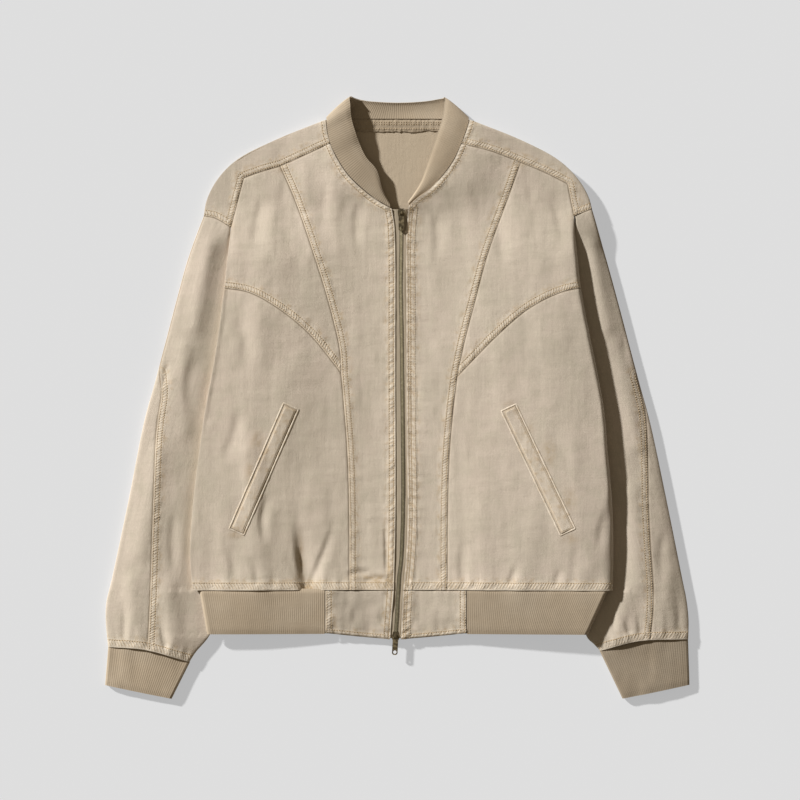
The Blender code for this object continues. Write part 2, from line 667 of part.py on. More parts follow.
def shoulder_yoke(cut):
    """Strip over the shoulder, from the neck to the sleeve."""
    seam = JoinedCurve((PlanCurve(cut.armhole), HIGH_ARM_ROWS),
                       (PlanCurve(cut.yoke_seam_chest), YOKE_CHEST_COLUMNS + 1),
                       (PlanCurve(cut.yoke_seam_centre), YOKE_CENTRE_COLUMNS))
    fold = PlanCurve(cut.shoulder)
    sleeve_end = PlanCurve(cut.sleeve_seam)
    neck_end = Reversed(PlanCurve(cut.neck_side))
    along = HIGH_ARM_ROWS + YOKE_CHEST_COLUMNS + 1 + YOKE_CENTRE_COLUMNS
    plan = edge_plan(sleeve_end, neck_end, fold, seam, steps(along), SHOULDER_ROLL,
                     YOKE_ACROSS)
    grid = lifted_with_edge(plan, SHOULDER_ROLL, [1.0] * len(plan))
    sheet_object(f"shoulder_yoke_{side_name(cut)}", [grid], CANVAS, CANVAS_FINISH,
                 faces_up(cut))


BACK_LOW_ROWS = 13
BACK_HIGH_ROWS = 4
BACK_MIDDLE_COLUMNS = 4
NECK_SEAM_Y = 347.9
NECK_CORNER_FOLD = 0.7   # how much of the shoulder's fold is left where it meets the neck


def ramp_stations(width, to_tuck_left, to_tuck_right):
    """Distances across a back row: rolls at both ends and close columns over each sleeve."""
    def one_side(to_tuck):
        roll = [step * BODY_ROLL for step in ROLL_STEPS]
        brink = max(to_tuck + 5.0, BODY_ROLL + 6.0)
        side = roll + [(roll[-1] + brink) / 2, brink]
        return side + [brink + TUCK_FALL * share for share in (0.35, 0.68, 1.0)]

    left, right = one_side(to_tuck_left), one_side(to_tuck_right)
    low, high = left[-1], width - right[-1]
    middle = [low + (high - low) * i / BACK_MIDDLE_COLUMNS for i in range(1, BACK_MIDDLE_COLUMNS)]
    return left + middle + [width - d for d in reversed(right)]


def back_rows_low():
    """Rows of the back panel between the hem and the armholes."""
    left = SubCurve(BODY_EDGE[-1], LEFT.body_edge[0].y + HALF_SEAM, LEFT.armhole[0].y)
    right = SubCurve(BODY_EDGE[1], RIGHT.body_edge[0].y + HALF_SEAM, RIGHT.armhole[0].y)
    grid = []
    for v in steps(BACK_LOW_ROWS):
        start, end = left.at(v), right.at(v)
        width = np.linalg.norm(end - start)
        tuck = [abs(TUCKED_EDGE[sign].x_at(p[1]) - p[0]) for sign, p in ((-1, start), (1, end))]
        fullness = 1.0 if v < 1 else 0.0
        row = []
        for d in ramp_stations(width, *tuck):
            plan = start + (end - start) * d / width
            edge, toward = (start, end) if d < width / 2 else (end, start)
            row.append(rolled_point(plan, edge, toward, front_top(*plan), support(*plan),
                                    BODY_ROLL, False, fullness))
        grid.append(row)
    return np.array(grid)


def back_rows_high(armhole_row):
    """Rows of the back panel from its armhole row up to the shoulder folds and the neck."""
    n_cols = len(armhole_row)
    bottom = armhole_row[:, :2]
    shoulder_columns = (n_cols - 1 - BACK_MIDDLE_COLUMNS) // 2
    corners = Point(LEFT.shoulder[-1].x, NECK_SEAM_Y), Point(RIGHT.shoulder[-1].x, NECK_SEAM_Y)
    top = JoinedCurve((PlanCurve(LEFT.shoulder), shoulder_columns),
                      (straight(*corners), BACK_MIDDLE_COLUMNS),
                      (Reversed(PlanCurve(RIGHT.shoulder)), shoulder_columns))
    left, right = Reversed(PlanCurve(LEFT.sleeve_seam)), Reversed(PlanCurve(RIGHT.sleeve_seam))
    columns = []
    for j in range(n_cols):
        u = j / (n_cols - 1)
        goal = top.at(u)
        length = np.linalg.norm(goal - bottom[j])
        flat = 1 - SHOULDER_ROLL / length
        shares = [flat * i / BACK_HIGH_ROWS for i in range(BACK_HIGH_ROWS + 1)]
        shares += [1 - step * SHOULDER_ROLL / length for step in reversed(ROLL_STEPS[:-1])]
        past_corner = min(j, n_cols - 1 - j) - shoulder_columns
        fullness = 1.0 if past_corner < 0 else NECK_CORNER_FOLD if past_corner == 0 else 0.0
        column = []
        for v in shares:
            plan = (1 - v) * bottom[j] + v * goal + (1 - u) * left.at(v) + u * right.at(v)
            plan = plan - (1 - u) * ((1 - v) * bottom[0] + v * top.at(0))
            plan = plan - u * ((1 - v) * bottom[-1] + v * top.at(1))
            column.append(rolled_point(plan, goal, bottom[j], front_top(*plan), 0.0,
                                       SHOULDER_ROLL, False, fullness))
        columns.append(column)
    grid = np.array(columns).transpose(1, 0, 2)
    grid[:, (0, -1), 1] += 2 * HALF_SEAM
    grid[0] = armhole_row
    return grid


def back_panel():
    """The whole back, from the hem to the neck, rolled up at the sides and shoulders."""
    low = back_rows_low()
    high = back_rows_high(low[-1])
    sheet_object("back_panel", [low, high], CANVAS, CANVAS_FINISH, False)


# ------------------------------------------------------------------ sleeves and cuffs
SLEEVE_ROWS = 15
SLEEVE_CLEAR = 0.6    # the inner fold stays this far from the body's side


def tube_stations(width, radius, count):
    """Plan distances from the outer edge across one face of a tube."""
    roll = [step * radius for step in ROLL_STEPS]
    flat = width - 2 * radius
    line = roll + [radius + flat * i / count for i in range(1, count)]
    return line + [width - d for d in reversed(roll)]


class SleeveRow:
    """One line across a sleeve, from its outer fold to its inner fold."""

    def __init__(self, cut, patch, share):
        self.cut = cut
        self.patch = patch
        self.share = share
        outer, inner = patch[2].at(share), patch[3].at(share)
        self.full = np.linalg.norm(inner - outer)
        self.width = self.full - SLEEVE_CLEAR
        self.seam = self._seam_distance(outer)
        self.cover = min(self._cover_distance(), self.width - SLEEVE_ROLL - 12.0)

    def _seam_distance(self, outer):
        """How far inside the outer fold the outer seam lies."""
        seam = PlanCurve(self.cut.outer_seam)
        reach = abs(seam.x_at(outer[1]) - outer[0]) if outer[1] < self.cut.outer_seam[0].y else 0
        return max(reach, 0.3 * SLEEVE_ROLL)

    def _cover_distance(self):
        """How far inside the outer fold the body begins to cover the sleeve."""
        for d in np.arange(self.seam, self.width - SLEEVE_ROLL, 1.0):
            x, y = self.plan(d)
            if (cover_edge(self.cut.sign, y) - x) * self.cut.sign >= 0:
                return max(d - 1.0, self.seam + 12.0)
        return self.width - SLEEVE_ROLL

    def plan(self, distance):
        """Plan point at a distance from the outer fold."""
        return coons(*self.patch, distance / self.full, self.share)

    def point(self, distance, upper):
        """Point of the outer face, on the upper or the lower side of the tube."""
        plan = self.plan(distance)
        edge = self.plan(0.0 if distance < self.width / 2 else self.width)
        top = sleeve_top(self.cut.sign, *plan)
        middle = self.plan(self.width / 2)
        return rolled_point(plan, edge, middle, top, 0.0, SLEEVE_ROLL, upper)

    def upper_stations(self):
        """Distances on the upper sleeve, from the outer seam to the inner fold."""
        start = self.seam + HALF_SEAM
        first = max(start, SLEEVE_ROLL) if self.seam < SLEEVE_ROLL else start + 5.0
        visible = [start] + [first + (self.cover - first) * i / 4 for i in range(5)]
        end = self.width - SLEEVE_ROLL
        hidden = [self.cover + (end - self.cover) * i / 3 for i in (1, 2, 3)]
        roll = [self.width - step * SLEEVE_ROLL for step in reversed(ROLL_STEPS[:-1])]
        return visible + hidden + roll

    def over_stations(self):
        """Distances on the under sleeve's part above the outer fold, towards the fold."""
        start = self.seam - HALF_SEAM
        if start > 1.6 * SLEEVE_ROLL:
            roll = [step * SLEEVE_ROLL for step in reversed(ROLL_STEPS)]
            return [start, (start + SLEEVE_ROLL) / 2] + roll
        return [start * (1 - i / 5) for i in range(6)]


def sleeve(cut):
    """Upper and lower sleeve: the seam between them climbs onto the front below the elbow."""
    patch = (PlanCurve(cut.sleeve_seam), PlanCurve(cut.cuff_seam),
             PlanCurve(cut.sleeve_outer), PlanCurve(cut.sleeve_inner))
    lines = [SleeveRow(cut, patch, v) for v in steps(SLEEVE_ROWS)]
    front = np.array([[r.point(d, True) for d in r.upper_stations()] for r in lines])
    sheet_object(f"sleeve_front_{side_name(cut)}", [trim_rows(front)], CANVAS, CANVAS_FINISH,
                 not faces_up(cut))
    back = np.array([
        [r.point(d, True) for d in r.over_stations()]
        + [r.point(d, False) for d in tube_stations(r.width, SLEEVE_ROLL, 6)[1:]]
        for r in lines])
    sheet_object(f"sleeve_back_{side_name(cut)}", [trim_rows(back)], CANVAS, CANVAS_FINISH,
                 faces_up(cut))


def trim_rows(grid):
    """Stop the first and last rows short of their seams."""
    result = grid.copy()
    for edge, inner in ((0, 1), (-1, -2)):
        step = (grid[inner] - grid[edge])[:, :3]
        length = np.linalg.norm(step, axis=1).clip(1e-6)
        result[edge, :, :3] += step * (HALF_SEAM / length)[:, None]
    return result


CUFF_ROWS = 3


def cuff(cut):
    """Rib cuff, a flattened tube that goes on from the sleeve."""
    seam, end = PlanCurve(cut.cuff_seam), PlanCurve(cut.cuff_end)
    outer = straight(cut.cuff_seam[0], cut.cuff_end[0])
    inner = straight(cut.cuff_seam[-1], cut.cuff_end[-1])
    grid = []
    for v in steps(CUFF_ROWS):
        width = np.linalg.norm(inner.at(v) - outer.at(v))
        across = tube_stations(width, CUFF_ROLL, 6)
        line = [(d, True) for d in across] + [(d, False) for d in reversed(across[1:-1])]
        row = []
        for distance, is_upper in line:
            share = distance / width
            plan = coons(seam, end, outer, inner, share, v)
            edge = coons(seam, end, outer, inner, 0 if share < 0.5 else 1, v)
            top = CUFF_HEIGHT + 1.2 * math.sin(math.pi * share)
            middle = coons(seam, end, outer, inner, 0.5, v)
            row.append(rolled_point(plan, edge, middle, top, 0.0, CUFF_ROLL, is_upper))
        grid.append(row)
    sheet_object(f"cuff_{side_name(cut)}", [trim_rows(np.array(grid))], RIB, RIB_FINISH,
                 not faces_up(cut), closed=True)


# ------------------------------------------------------------------ hem, tabs and collar
HEM_ROWS = 3
HEM_SIDE_COLUMNS = 7
HEM_MIDDLE_COLUMNS = 5
TAB_COLUMNS = 3
TAB_OUTER = {-1: -90.3, 1: 86.6}


def rib_top(x, y):
    """Height of the front of the hem rib."""
    return max(front_top(x, y) - 0.8, support(x, y) + 2 * RIB + 1.0)


def hem_rib():
    """One rib band: left front, round the left side, the back, round the right side, front."""
    grid = []
    for v in steps(HEM_ROWS):
        y = RIB_TOP_Y + v * (RIB_LOW_Y - RIB_TOP_Y)
        sides = {}
        for sign in (-1, 1):
            edge = RIB_EDGE[sign].x_at(y)
            width = abs(TAB_OUTER[sign] - edge) - HALF_SEAM
            shares = columns_from_edge(width, BODY_ROLL, HEM_SIDE_COLUMNS)
            sides[sign] = [edge - sign * share * width for share in shares]
        left, right = sides[-1], sides[1]
        start, end = left[-1], right[-1]
        middle = [start + (end - start) * i / HEM_MIDDLE_COLUMNS
                  for i in range(1, HEM_MIDDLE_COLUMNS)]
        ring = [(x, True) for x in reversed(left)]
        ring += [(x, False) for x in left[1:] + middle + right[:0:-1]]
        ring += [(x, True) for x in right]
        row = []
        for x, upper in ring:
            edge = np.array([left[0] if x < 0 else right[0], y])
            row.append(rolled_point((x, y), edge, (0.0, y), rib_top(x, y), support(x, y),
                                    BODY_ROLL, upper))
        grid.append(row)
    sheet_object("hem_rib", [np.array(grid)], RIB, RIB_FINISH, True)


def hem_tab(cut):
    """Canvas tab beside the zip at the hem."""
    zip_side = {-1: rows((-4.3, -241.2), (-6.6, -270), (-8.9, -302.6)),
                1: rows((6.9, -241.2), (5.4, -270), (4.3, -302.6))}[cut.sign]
    outer_x = TAB_OUTER[cut.sign]
    outer = straight((outer_x, RIB_TOP_Y), (outer_x, cut.tab_bottom[0].y))
    inner = PlanCurve(zip_side)
    top = straight((outer_x, RIB_TOP_Y), zip_side[0])
    bottom = PlanCurve(cut.tab_bottom)
    plan = np.array([[coons(top, bottom, outer, inner, u, v) for u in steps(TAB_COLUMNS)]
                     for v in steps(HEM_ROWS)])
    grid = lift_grid(inset_seams(plan), lambda i, j, x, y: front_top(x, y))
    sheet_object(f"hem_tab_{side_name(cut)}", [grid], CANVAS, CANVAS_FINISH,
                 not faces_up(cut))


COLLAR_ROWS = 3


def collar_rib():
    """Rib collar: two front strips, folded beside the neck, and the back strip below."""
    ring = COLLAR_LEFT + [COLLAR_BACK] + list(reversed(COLLAR_RIGHT))
    grid = []
    for share in steps(COLLAR_ROWS):
        row = []
        for s in ring:
            base = np.array([s.base_x, s.base_y, s.base_z])
            top = np.array([s.top_x, s.top_y, s.top_z])
            row.append(base + share * (top - base))
        grid.append(row)
    sheet_object("collar_rib", [np.array(grid)], RIB, RIB_FINISH, False)


# ------------------------------------------------------------------ pockets
WELT_WIDTH = 18.0
WELT_WALL = 1.4
WELT_ROWS = 8


def facet_height(grid, x, y):
    """Height of a panel's outer face at a plan point, read from its own facets."""
    n_rows, n_cols = grid.shape[:2]
    verts = [Vector(p[:3]) for p in grid.reshape(-1, grid.shape[2])]
    faces = []
    for i in range(n_rows - 1):
        for j in range(n_cols - 1):
            a = i * n_cols + j
            faces += [(a, a + 1, a + n_cols + 1), (a, a + n_cols + 1, a + n_cols)]
    tree = BVHTree.FromPolygons(verts, faces)
    hit = tree.ray_cast(Vector((x, y, 100.0)), Vector((0.0, 0.0, -1.0)))[0]
    return hit.z


def pocket_welt(cut, panel):
    """Slanted welt that lies on the side panel, made from the panel's points."""
    upper, lower = (np.array(p, dtype=float) for p in cut.welt)
    along = (lower - upper) / np.linalg.norm(lower - upper)
    across = np.array([-along[1], along[0]]) * -cut.sign
    grid = []
    for share in steps(WELT_ROWS):
        row = []
        for side in (-0.5, 0.0, 0.5):
            x, y = upper + (lower - upper) * share + across * side * WELT_WIDTH
            row.append((x, y, facet_height(panel, x, y) + 2 * LAID_ON + WELT_WALL))
        grid.append(row)
    sheet_object(f"pocket_welt_{side_name(cut)}", [np.array(grid)], WELT_WALL, CANVAS_FINISH,
                 not faces_up(cut))


# ------------------------------------------------------------------ zip
TAPE_TOP_Y = 236.0
TAPE_LOW_Y = -301.0
TAPE_INNER_GAP = 0.35     # between the chain and the tape's inner edge
TAPE_SHOWS = 3.6          # width of tape beside the chain before the cloth begins
TAPE_UNDER = 9.0          # how far the tape goes in under the front edge
TAPE_BELOW = 1.0          # air between the tape and the cloth over it
CHAIN_HALF_HEIGHT = 1.1
ZIP_ROWS = 22
CHAIN_TOP_Y = TOP_SLIDER_Y - SLIDER_LENGTH / 2 - 0.3
CHAIN_LOW_Y = BOTTOM_SLIDER_Y + SLIDER_LENGTH / 2 + 0.3


def tape_top(x, y):
    """Height of the upper face of the zip tape."""
    return front_top(x, y) - CANVAS - TAPE_BELOW


def zip_tape(cut):
    """Strip of zip tape on one side of the chain, from the neck to the hem."""
    grid = []
    for share in steps(ZIP_ROWS):
        y = TAPE_TOP_Y + share * (TAPE_LOW_Y - TAPE_TOP_Y)
        centre = ZIP_CURVE.x_at(y)
        inner = centre + cut.sign * (ZIP_HALF + TAPE_INNER_GAP)
        outer = centre + cut.sign * (ZIP_HALF + TAPE_SHOWS + TAPE_UNDER)
        grid.append([(outer, y, tape_top(outer, y)), (inner, y, tape_top(inner, y))])
    sheet_object(f"zip_tape_{side_name(cut)}", [np.array(grid)], TAPE, TAPE_FINISH,
                 not faces_up(cut))


def zip_chain():
    """The closed chain, as one bar along the zip line."""
    grid = []
    for share in steps(ZIP_ROWS + 6):
        y = CHAIN_TOP_Y + share * (CHAIN_LOW_Y - CHAIN_TOP_Y)
        x = ZIP_CURVE.x_at(y)
        level = tape_top(x, y) - TAPE / 2
        ring = [(x + ZIP_HALF * cx, y, level + CHAIN_HALF_HEIGHT * cz)
                for cx, cz in ((-1, -0.6), (-0.6, -1), (0.6, -1), (1, -0.6),
                               (1, 0.6), (0.6, 1), (-0.6, 1), (-1, 0.6))]
        grid.append(ring)
    mesh = bpy.data.meshes.new("zip_chain")
    build = bmesh.new()
    rings = [[build.verts.new(Vector(p) * MM) for p in ring] for ring in grid]
    for lower, upper in zip(rings, rings[1:]):
        for j in range(8):
            k = (j + 1) % 8
            build.faces.new((lower[j], lower[k], upper[k], upper[j]))
    build.faces.new(rings[0][::-1])
    build.faces.new(rings[-1])
    build.to_mesh(mesh)
    build.free()
    add_object("zip_chain", mesh, BRASS_FINISH)


def prism(name, outline, low, high):
    """Closed prism over a plan outline, given anticlockwise, between two heights."""
    mesh = bpy.data.meshes.new(name)
    build = bmesh.new()
    floor = [build.verts.new(Vector((x, y, low)) * MM) for x, y in outline]
    roof = [build.verts.new(Vector((x, y, high)) * MM) for x, y in outline]
    build.faces.new(floor[::-1])
    build.faces.new(roof)
    for i in range(len(outline)):
        k = (i + 1) % len(outline)
        build.faces.new((floor[i], floor[k], roof[k], roof[i]))
    build.to_mesh(mesh)
    build.free()
    return mesh


def guide(name, mesh):
    """An object that only cuts or joins another one."""
    helper = bpy.data.objects.new(name, mesh)
    bpy.context.scene.collection.objects.link(helper)
    helper.hide_render = True
    helper.display_type = "WIRE"
    return helper


def combine(piece, helper, operation):
    """Boolean of a piece with a helper that moves with it."""
    helper.parent = piece
    modifier = piece.modifiers.new(helper.name, "BOOLEAN")
    modifier.operation = operation
    modifier.object = helper
    modifier.solver = "EXACT"


def circle(radius, count, centre=(0.0, 0.0), start=0.0, sweep=2 * math.pi):
    """Points on a circle or an arc."""
    closed = abs(sweep - 2 * math.pi) < 1e-9
    last = count if closed else count - 1
    return [(centre[0] + radius * math.cos(start + sweep * i / last),
             centre[1] + radius * math.sin(start + sweep * i / last)) for i in range(count)]


def arch_mesh(name):
    """Half ring over the pivot, standing in the plane along the zip."""
    outer = circle(ARCH_OUTER, 9, start=0.0, sweep=math.pi)
    inner = circle(ARCH_INNER, 9, start=math.pi, sweep=-math.pi)
    foot = -1.4
    profile = [(ARCH_OUTER, foot)] + outer + [(-ARCH_OUTER, foot), (-ARCH_INNER, foot)]
    profile += inner + [(ARCH_INNER, foot)]
    mesh = bpy.data.meshes.new(name)
    build = bmesh.new()
    near = [build.verts.new(Vector((-ARCH_WIDTH / 2, y, z)) * MM) for y, z in profile]
    far = [build.verts.new(Vector((ARCH_WIDTH / 2, y, z)) * MM) for y, z in profile]
    build.faces.new(near[::-1])
    build.faces.new(far)
    for i in range(len(profile)):
        k = (i + 1) % len(profile)
        build.faces.new((near[i], near[k], far[k], far[i]))
    build.to_mesh(mesh)
    build.free()
    return mesh


SLIDER_AIR = 0.4                # air above and below the slider's plate
SLIDER_TOP = -PULL_BAR - SLIDER_AIR    # top of the plate, below the pivot
PIVOT_LIFT = 0.6                # the pull's bar lies this far above the plate's air


def pivot_of(y):
    """Pivot of a pull tab: on the zip line, just above the slider's plate."""
    x = ZIP_CURVE.x_at(y)
    return Vector((x, y, tape_top(x, y) + SLIDER_PLATE + SLIDER_AIR - SLIDER_TOP + PIVOT_LIFT))


def slider_outline():
    """Shield outline of a slider: wide at the mouth, narrower at the tail."""
    wide, narrow = SLIDER_WIDTH / 2, SLIDER_WIDTH * 0.36
    half = SLIDER_LENGTH / 2
    return [(-narrow, -half), (narrow, -half), (wide, -half * 0.1), (wide, half * 0.6),
            (wide * 0.7, half), (-wide * 0.7, half), (-wide, half * 0.6), (-wide, -half * 0.1)]


def zip_slider(name, y, turn, tail_down):
    """Slider: a shield plate on the chain, a stem between the tapes and the pull's arch."""
    pivot = pivot_of(y)
    flip = 1 if tail_down else -1
    outline = [(px * flip, py * flip) for px, py in slider_outline()]
    plate = prism(name, outline, SLIDER_TOP - SLIDER_PLATE, SLIDER_TOP)
    piece = add_object(name, plate, BRASS_FINISH)
    piece.location = pivot * MM
    piece.rotation_euler = (0.0, 0.0, turn)
    arch = guide(name + "_arch", arch_mesh(name + "_arch"))
    combine(piece, arch, "UNION")
    stem_outline = [(-1.7, -SLIDER_LENGTH * 0.4), (1.7, -SLIDER_LENGTH * 0.4),
                    (1.7, SLIDER_LENGTH * 0.4), (-1.7, SLIDER_LENGTH * 0.4)]
    stem = guide(name + "_stem", prism(name + "_stem", stem_outline,
                                       SLIDER_TOP - SLIDER_PLATE - 2.2,
                                       SLIDER_TOP - SLIDER_PLATE / 2))
    combine(piece, stem, "UNION")
    return piece


def zip_pull(name, y, turn, length):
    """Pull tab hanging from its slider's arch, with an eye at the top and a round hole."""
    half = PULL_WIDTH / 2
    corner = 2.2
    outline = [(-half * 0.8, PULL_BAR), (-half, -2.5), (-half, -length + corner)]
    outline += [(-half + corner * 0.35, -length + corner * 0.35), (-half + corner, -length)]
    outline += [(half - corner, -length), (half - corner * 0.35, -length + corner * 0.35)]
    outline += [(half, -length + corner), (half, -2.5), (half * 0.8, PULL_BAR)]
    piece = add_object(name, prism(name, outline, -PULL_BAR, PULL_BAR), BRASS_FINISH)
    piece.location = pivot_of(y) * MM
    piece.rotation_euler = (0.0, 0.0, turn)
    eye = [(-EYE_HALF, -EYE_REACH), (EYE_HALF, -EYE_REACH), (EYE_HALF, -PULL_BAR),
           (-EYE_HALF, -PULL_BAR)]
    combine(piece, guide(name + "_eye", prism(name + "_eye", eye, -2.0, 2.0)), "DIFFERENCE")
    hole = circle(HOLE_RADIUS, 14, centre=(0.0, HOLE_RADIUS + HOLE_RIM - length))
    combine(piece, guide(name + "_hole", prism(name + "_hole", hole, -2.0, 2.0)), "DIFFERENCE")
    return piece


# ------------------------------------------------------------------ assembly
def main():
    """Clear the scene and build every piece of the jacket."""
    for item in list(bpy.data.objects):
        bpy.data.objects.remove(item, do_unlink=True)
    back_panel()
    for cut in (LEFT, RIGHT):
        front_centre(cut)
        panel = front_side(cut)
        front_chest(cut)
        shoulder_yoke(cut)
        sleeve(cut)
        cuff(cut)
        hem_tab(cut)
        zip_tape(cut)
        pocket_welt(cut, panel)
    hem_rib()
    collar_rib()
    zip_chain()
    zip_slider("zip_slider_top", TOP_SLIDER_Y, 0.0, True)
    zip_pull("zip_pull_top", TOP_SLIDER_Y, 0.0, TOP_PULL_LENGTH)
    zip_slider("zip_slider_bottom", BOTTOM_SLIDER_Y, BOTTOM_LEAN, False)
    zip_pull("zip_pull_bottom", BOTTOM_SLIDER_Y, BOTTOM_LEAN, BOTTOM_PULL_LENGTH)


main()
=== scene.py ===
"""Looks of a varsity jacket of washed cotton canvas, laid flat on its back with the front up.

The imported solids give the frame: +X is the side on the right as one looks down, +Y points from
the hem to the collar, +Z is up, and the origin is the middle of the outline on the surface.
Every cloth piece here is a fine shell on its solid's form, with its own creases, seams and
stitches. Tables are in millimetres, as a maker writes a garment's sizes; meshes are in metres.
"""

import json
import logging
import math
from dataclasses import dataclass, field
from enum import Enum
from typing import Callable, NamedTuple, Sequence, Union

import bmesh
import bpy
import numpy as np
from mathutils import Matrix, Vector
from mathutils.bvhtree import BVHTree

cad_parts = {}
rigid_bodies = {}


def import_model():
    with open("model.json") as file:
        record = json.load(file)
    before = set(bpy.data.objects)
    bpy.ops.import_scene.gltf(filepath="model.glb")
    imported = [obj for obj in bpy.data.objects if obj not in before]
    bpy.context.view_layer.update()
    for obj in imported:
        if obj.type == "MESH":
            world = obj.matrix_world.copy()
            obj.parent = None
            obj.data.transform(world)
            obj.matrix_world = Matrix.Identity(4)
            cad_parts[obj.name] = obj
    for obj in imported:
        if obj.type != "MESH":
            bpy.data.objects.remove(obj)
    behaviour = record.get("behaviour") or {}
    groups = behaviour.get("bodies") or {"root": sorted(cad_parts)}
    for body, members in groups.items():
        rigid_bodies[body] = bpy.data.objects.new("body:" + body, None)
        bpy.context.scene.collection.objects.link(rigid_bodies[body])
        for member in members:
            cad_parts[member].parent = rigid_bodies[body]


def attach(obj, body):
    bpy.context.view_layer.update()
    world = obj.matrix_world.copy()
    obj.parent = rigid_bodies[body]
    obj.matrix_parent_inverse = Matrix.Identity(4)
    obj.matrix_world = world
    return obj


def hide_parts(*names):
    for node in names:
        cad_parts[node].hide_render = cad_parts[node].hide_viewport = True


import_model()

log = logging.getLogger("jacket")
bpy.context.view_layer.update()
MM = 0.001
Array = np.ndarray
BODY = "garment"

# ------------------------------------------------------------------ sizes that pieces share
CANVAS_WALL = 1.2       # thickness of the cloth shells
RIB_WALL = 2.0
TAPE_WALL = 0.8
SEAM_GAP = 0.12         # each piece stops this far short of its seam line
BODY_STACK = 4.6        # height of the front where only the back lies beneath it
SLEEVE_PRESSED = 7.4    # height of a sleeve's upper face beside its folds
SLEEVE_LIFT = 8.1       # how far a tucked sleeve lifts the body
TUCK_FALL = 45.0        # width over which that lift dies away
BODY_ROLL = 5.0         # radii of the folded edges
SHOULDER_ROLL = 4.5
SLEEVE_ROLL = 4.5
CUFF_ROLL = 3.4
CUFF_HEIGHT = 7.2
HEM_Y = -240.6          # lower edge of the front panels
RIB_TOP_Y = -241.2
RIB_LOW_Y = -295.6
COVER_CLEAR = 1.5       # how far outside the body's edge a sleeve comes into view
NECK_SEAM_Y = 347.9
NECK_SEAM_X = (-89.7, 90.4)
ARMHOLE_FADE = (165.0, 252.0)   # heights between which the sleeve stops lifting the body
ZIP_HALF = 2.1          # half width of the closed teeth
TOOTH_PITCH = 1.9
RIB_PITCH = 2.6         # one wale to the next
WALE_DEPTH = 0.09       # how far the wales of the hem and the collar stand up
ABOVE = 60.0            # a height over everything, from which points are dropped


# ------------------------------------------------------------------ small maths
def ease(value: Array) -> Array:
    """Smooth step from 0 to 1."""
    t = np.clip(value, 0.0, 1.0)
    return t * t * (3 - 2 * t)


def bump(distance: Array, half_width: float) -> Array:
    """Soft bell, 1 at no distance."""
    return np.exp(-((distance / half_width) ** 2))


def running(points: Array) -> Array:
    """Lengths along a line of points, counted from its start."""
    return np.concatenate([[0.0], np.cumsum(np.linalg.norm(np.diff(points, axis=0), axis=1))])


def at_height(plan: Array, height: Array) -> Array:
    """The points of a plan grid, each at its height."""
    return np.concatenate([plan, height[..., None]], axis=-1)


class Point(NamedTuple):
    """A plan point in millimetres."""

    x: float
    y: float


def rows(*pairs: tuple[float, float]) -> list[Point]:
    """Points from (x, y) pairs."""
    return [Point(*pair) for pair in pairs]


class Grain:
    """Smooth seeded noise over the plane, from -1 to 1."""

    SIZE = 64

    def __init__(self, seed: int, across: float, along: float) -> None:
        """Store the cell sizes in millimetres and draw the lattice."""
        self.cell = (across, along)
        self.table = np.random.default_rng(seed).uniform(-1, 1, (self.SIZE, self.SIZE))

    def at(self, x: Array, y: Array) -> Array:
        """Noise at plan points."""
        gx, gy = np.asarray(x) / self.cell[0], np.asarray(y) / self.cell[1]
        ix, iy = np.floor(gx).astype(int), np.floor(gy).astype(int)
        fx, fy = gx - ix, gy - iy
        fx, fy = fx**3 * (fx * (6 * fx - 15) + 10), fy**3 * (fy * (6 * fy - 15) + 10)
        n, t = self.SIZE, self.table
        low = t[ix % n, iy % n] * (1 - fx) + t[(ix + 1) % n, iy % n] * fx
        high = t[ix % n, (iy + 1) % n] * (1 - fx) + t[(ix + 1) % n, (iy + 1) % n] * fx
        return low * (1 - fy) + high * fy


def nearest_on(points: Array, line: Array) -> tuple[Array, Array]:
    """Where plan points lie beside a plan line.

    Args:
        points: n by 2 plan points.
        line: m by 2 points of the line.

    Returns:
        Distance to the line, and length along it, both n long.
    """
    best = np.full(len(points), 1e9)
    along = np.zeros(len(points))
    done = 0.0
    for start, end in zip(line[:-1], line[1:]):
        step = end - start
        length = float(np.hypot(*step))
        if length < 1e-9:
            continue
        share = np.clip((points - start) @ step / length**2, 0, 1)
        gap = np.hypot(*(points - start - share[:, None] * step).T)
        closer = gap < best
        best = np.where(closer, gap, best)
        along = np.where(closer, done + share * length, along)
        done += length
    return best, along


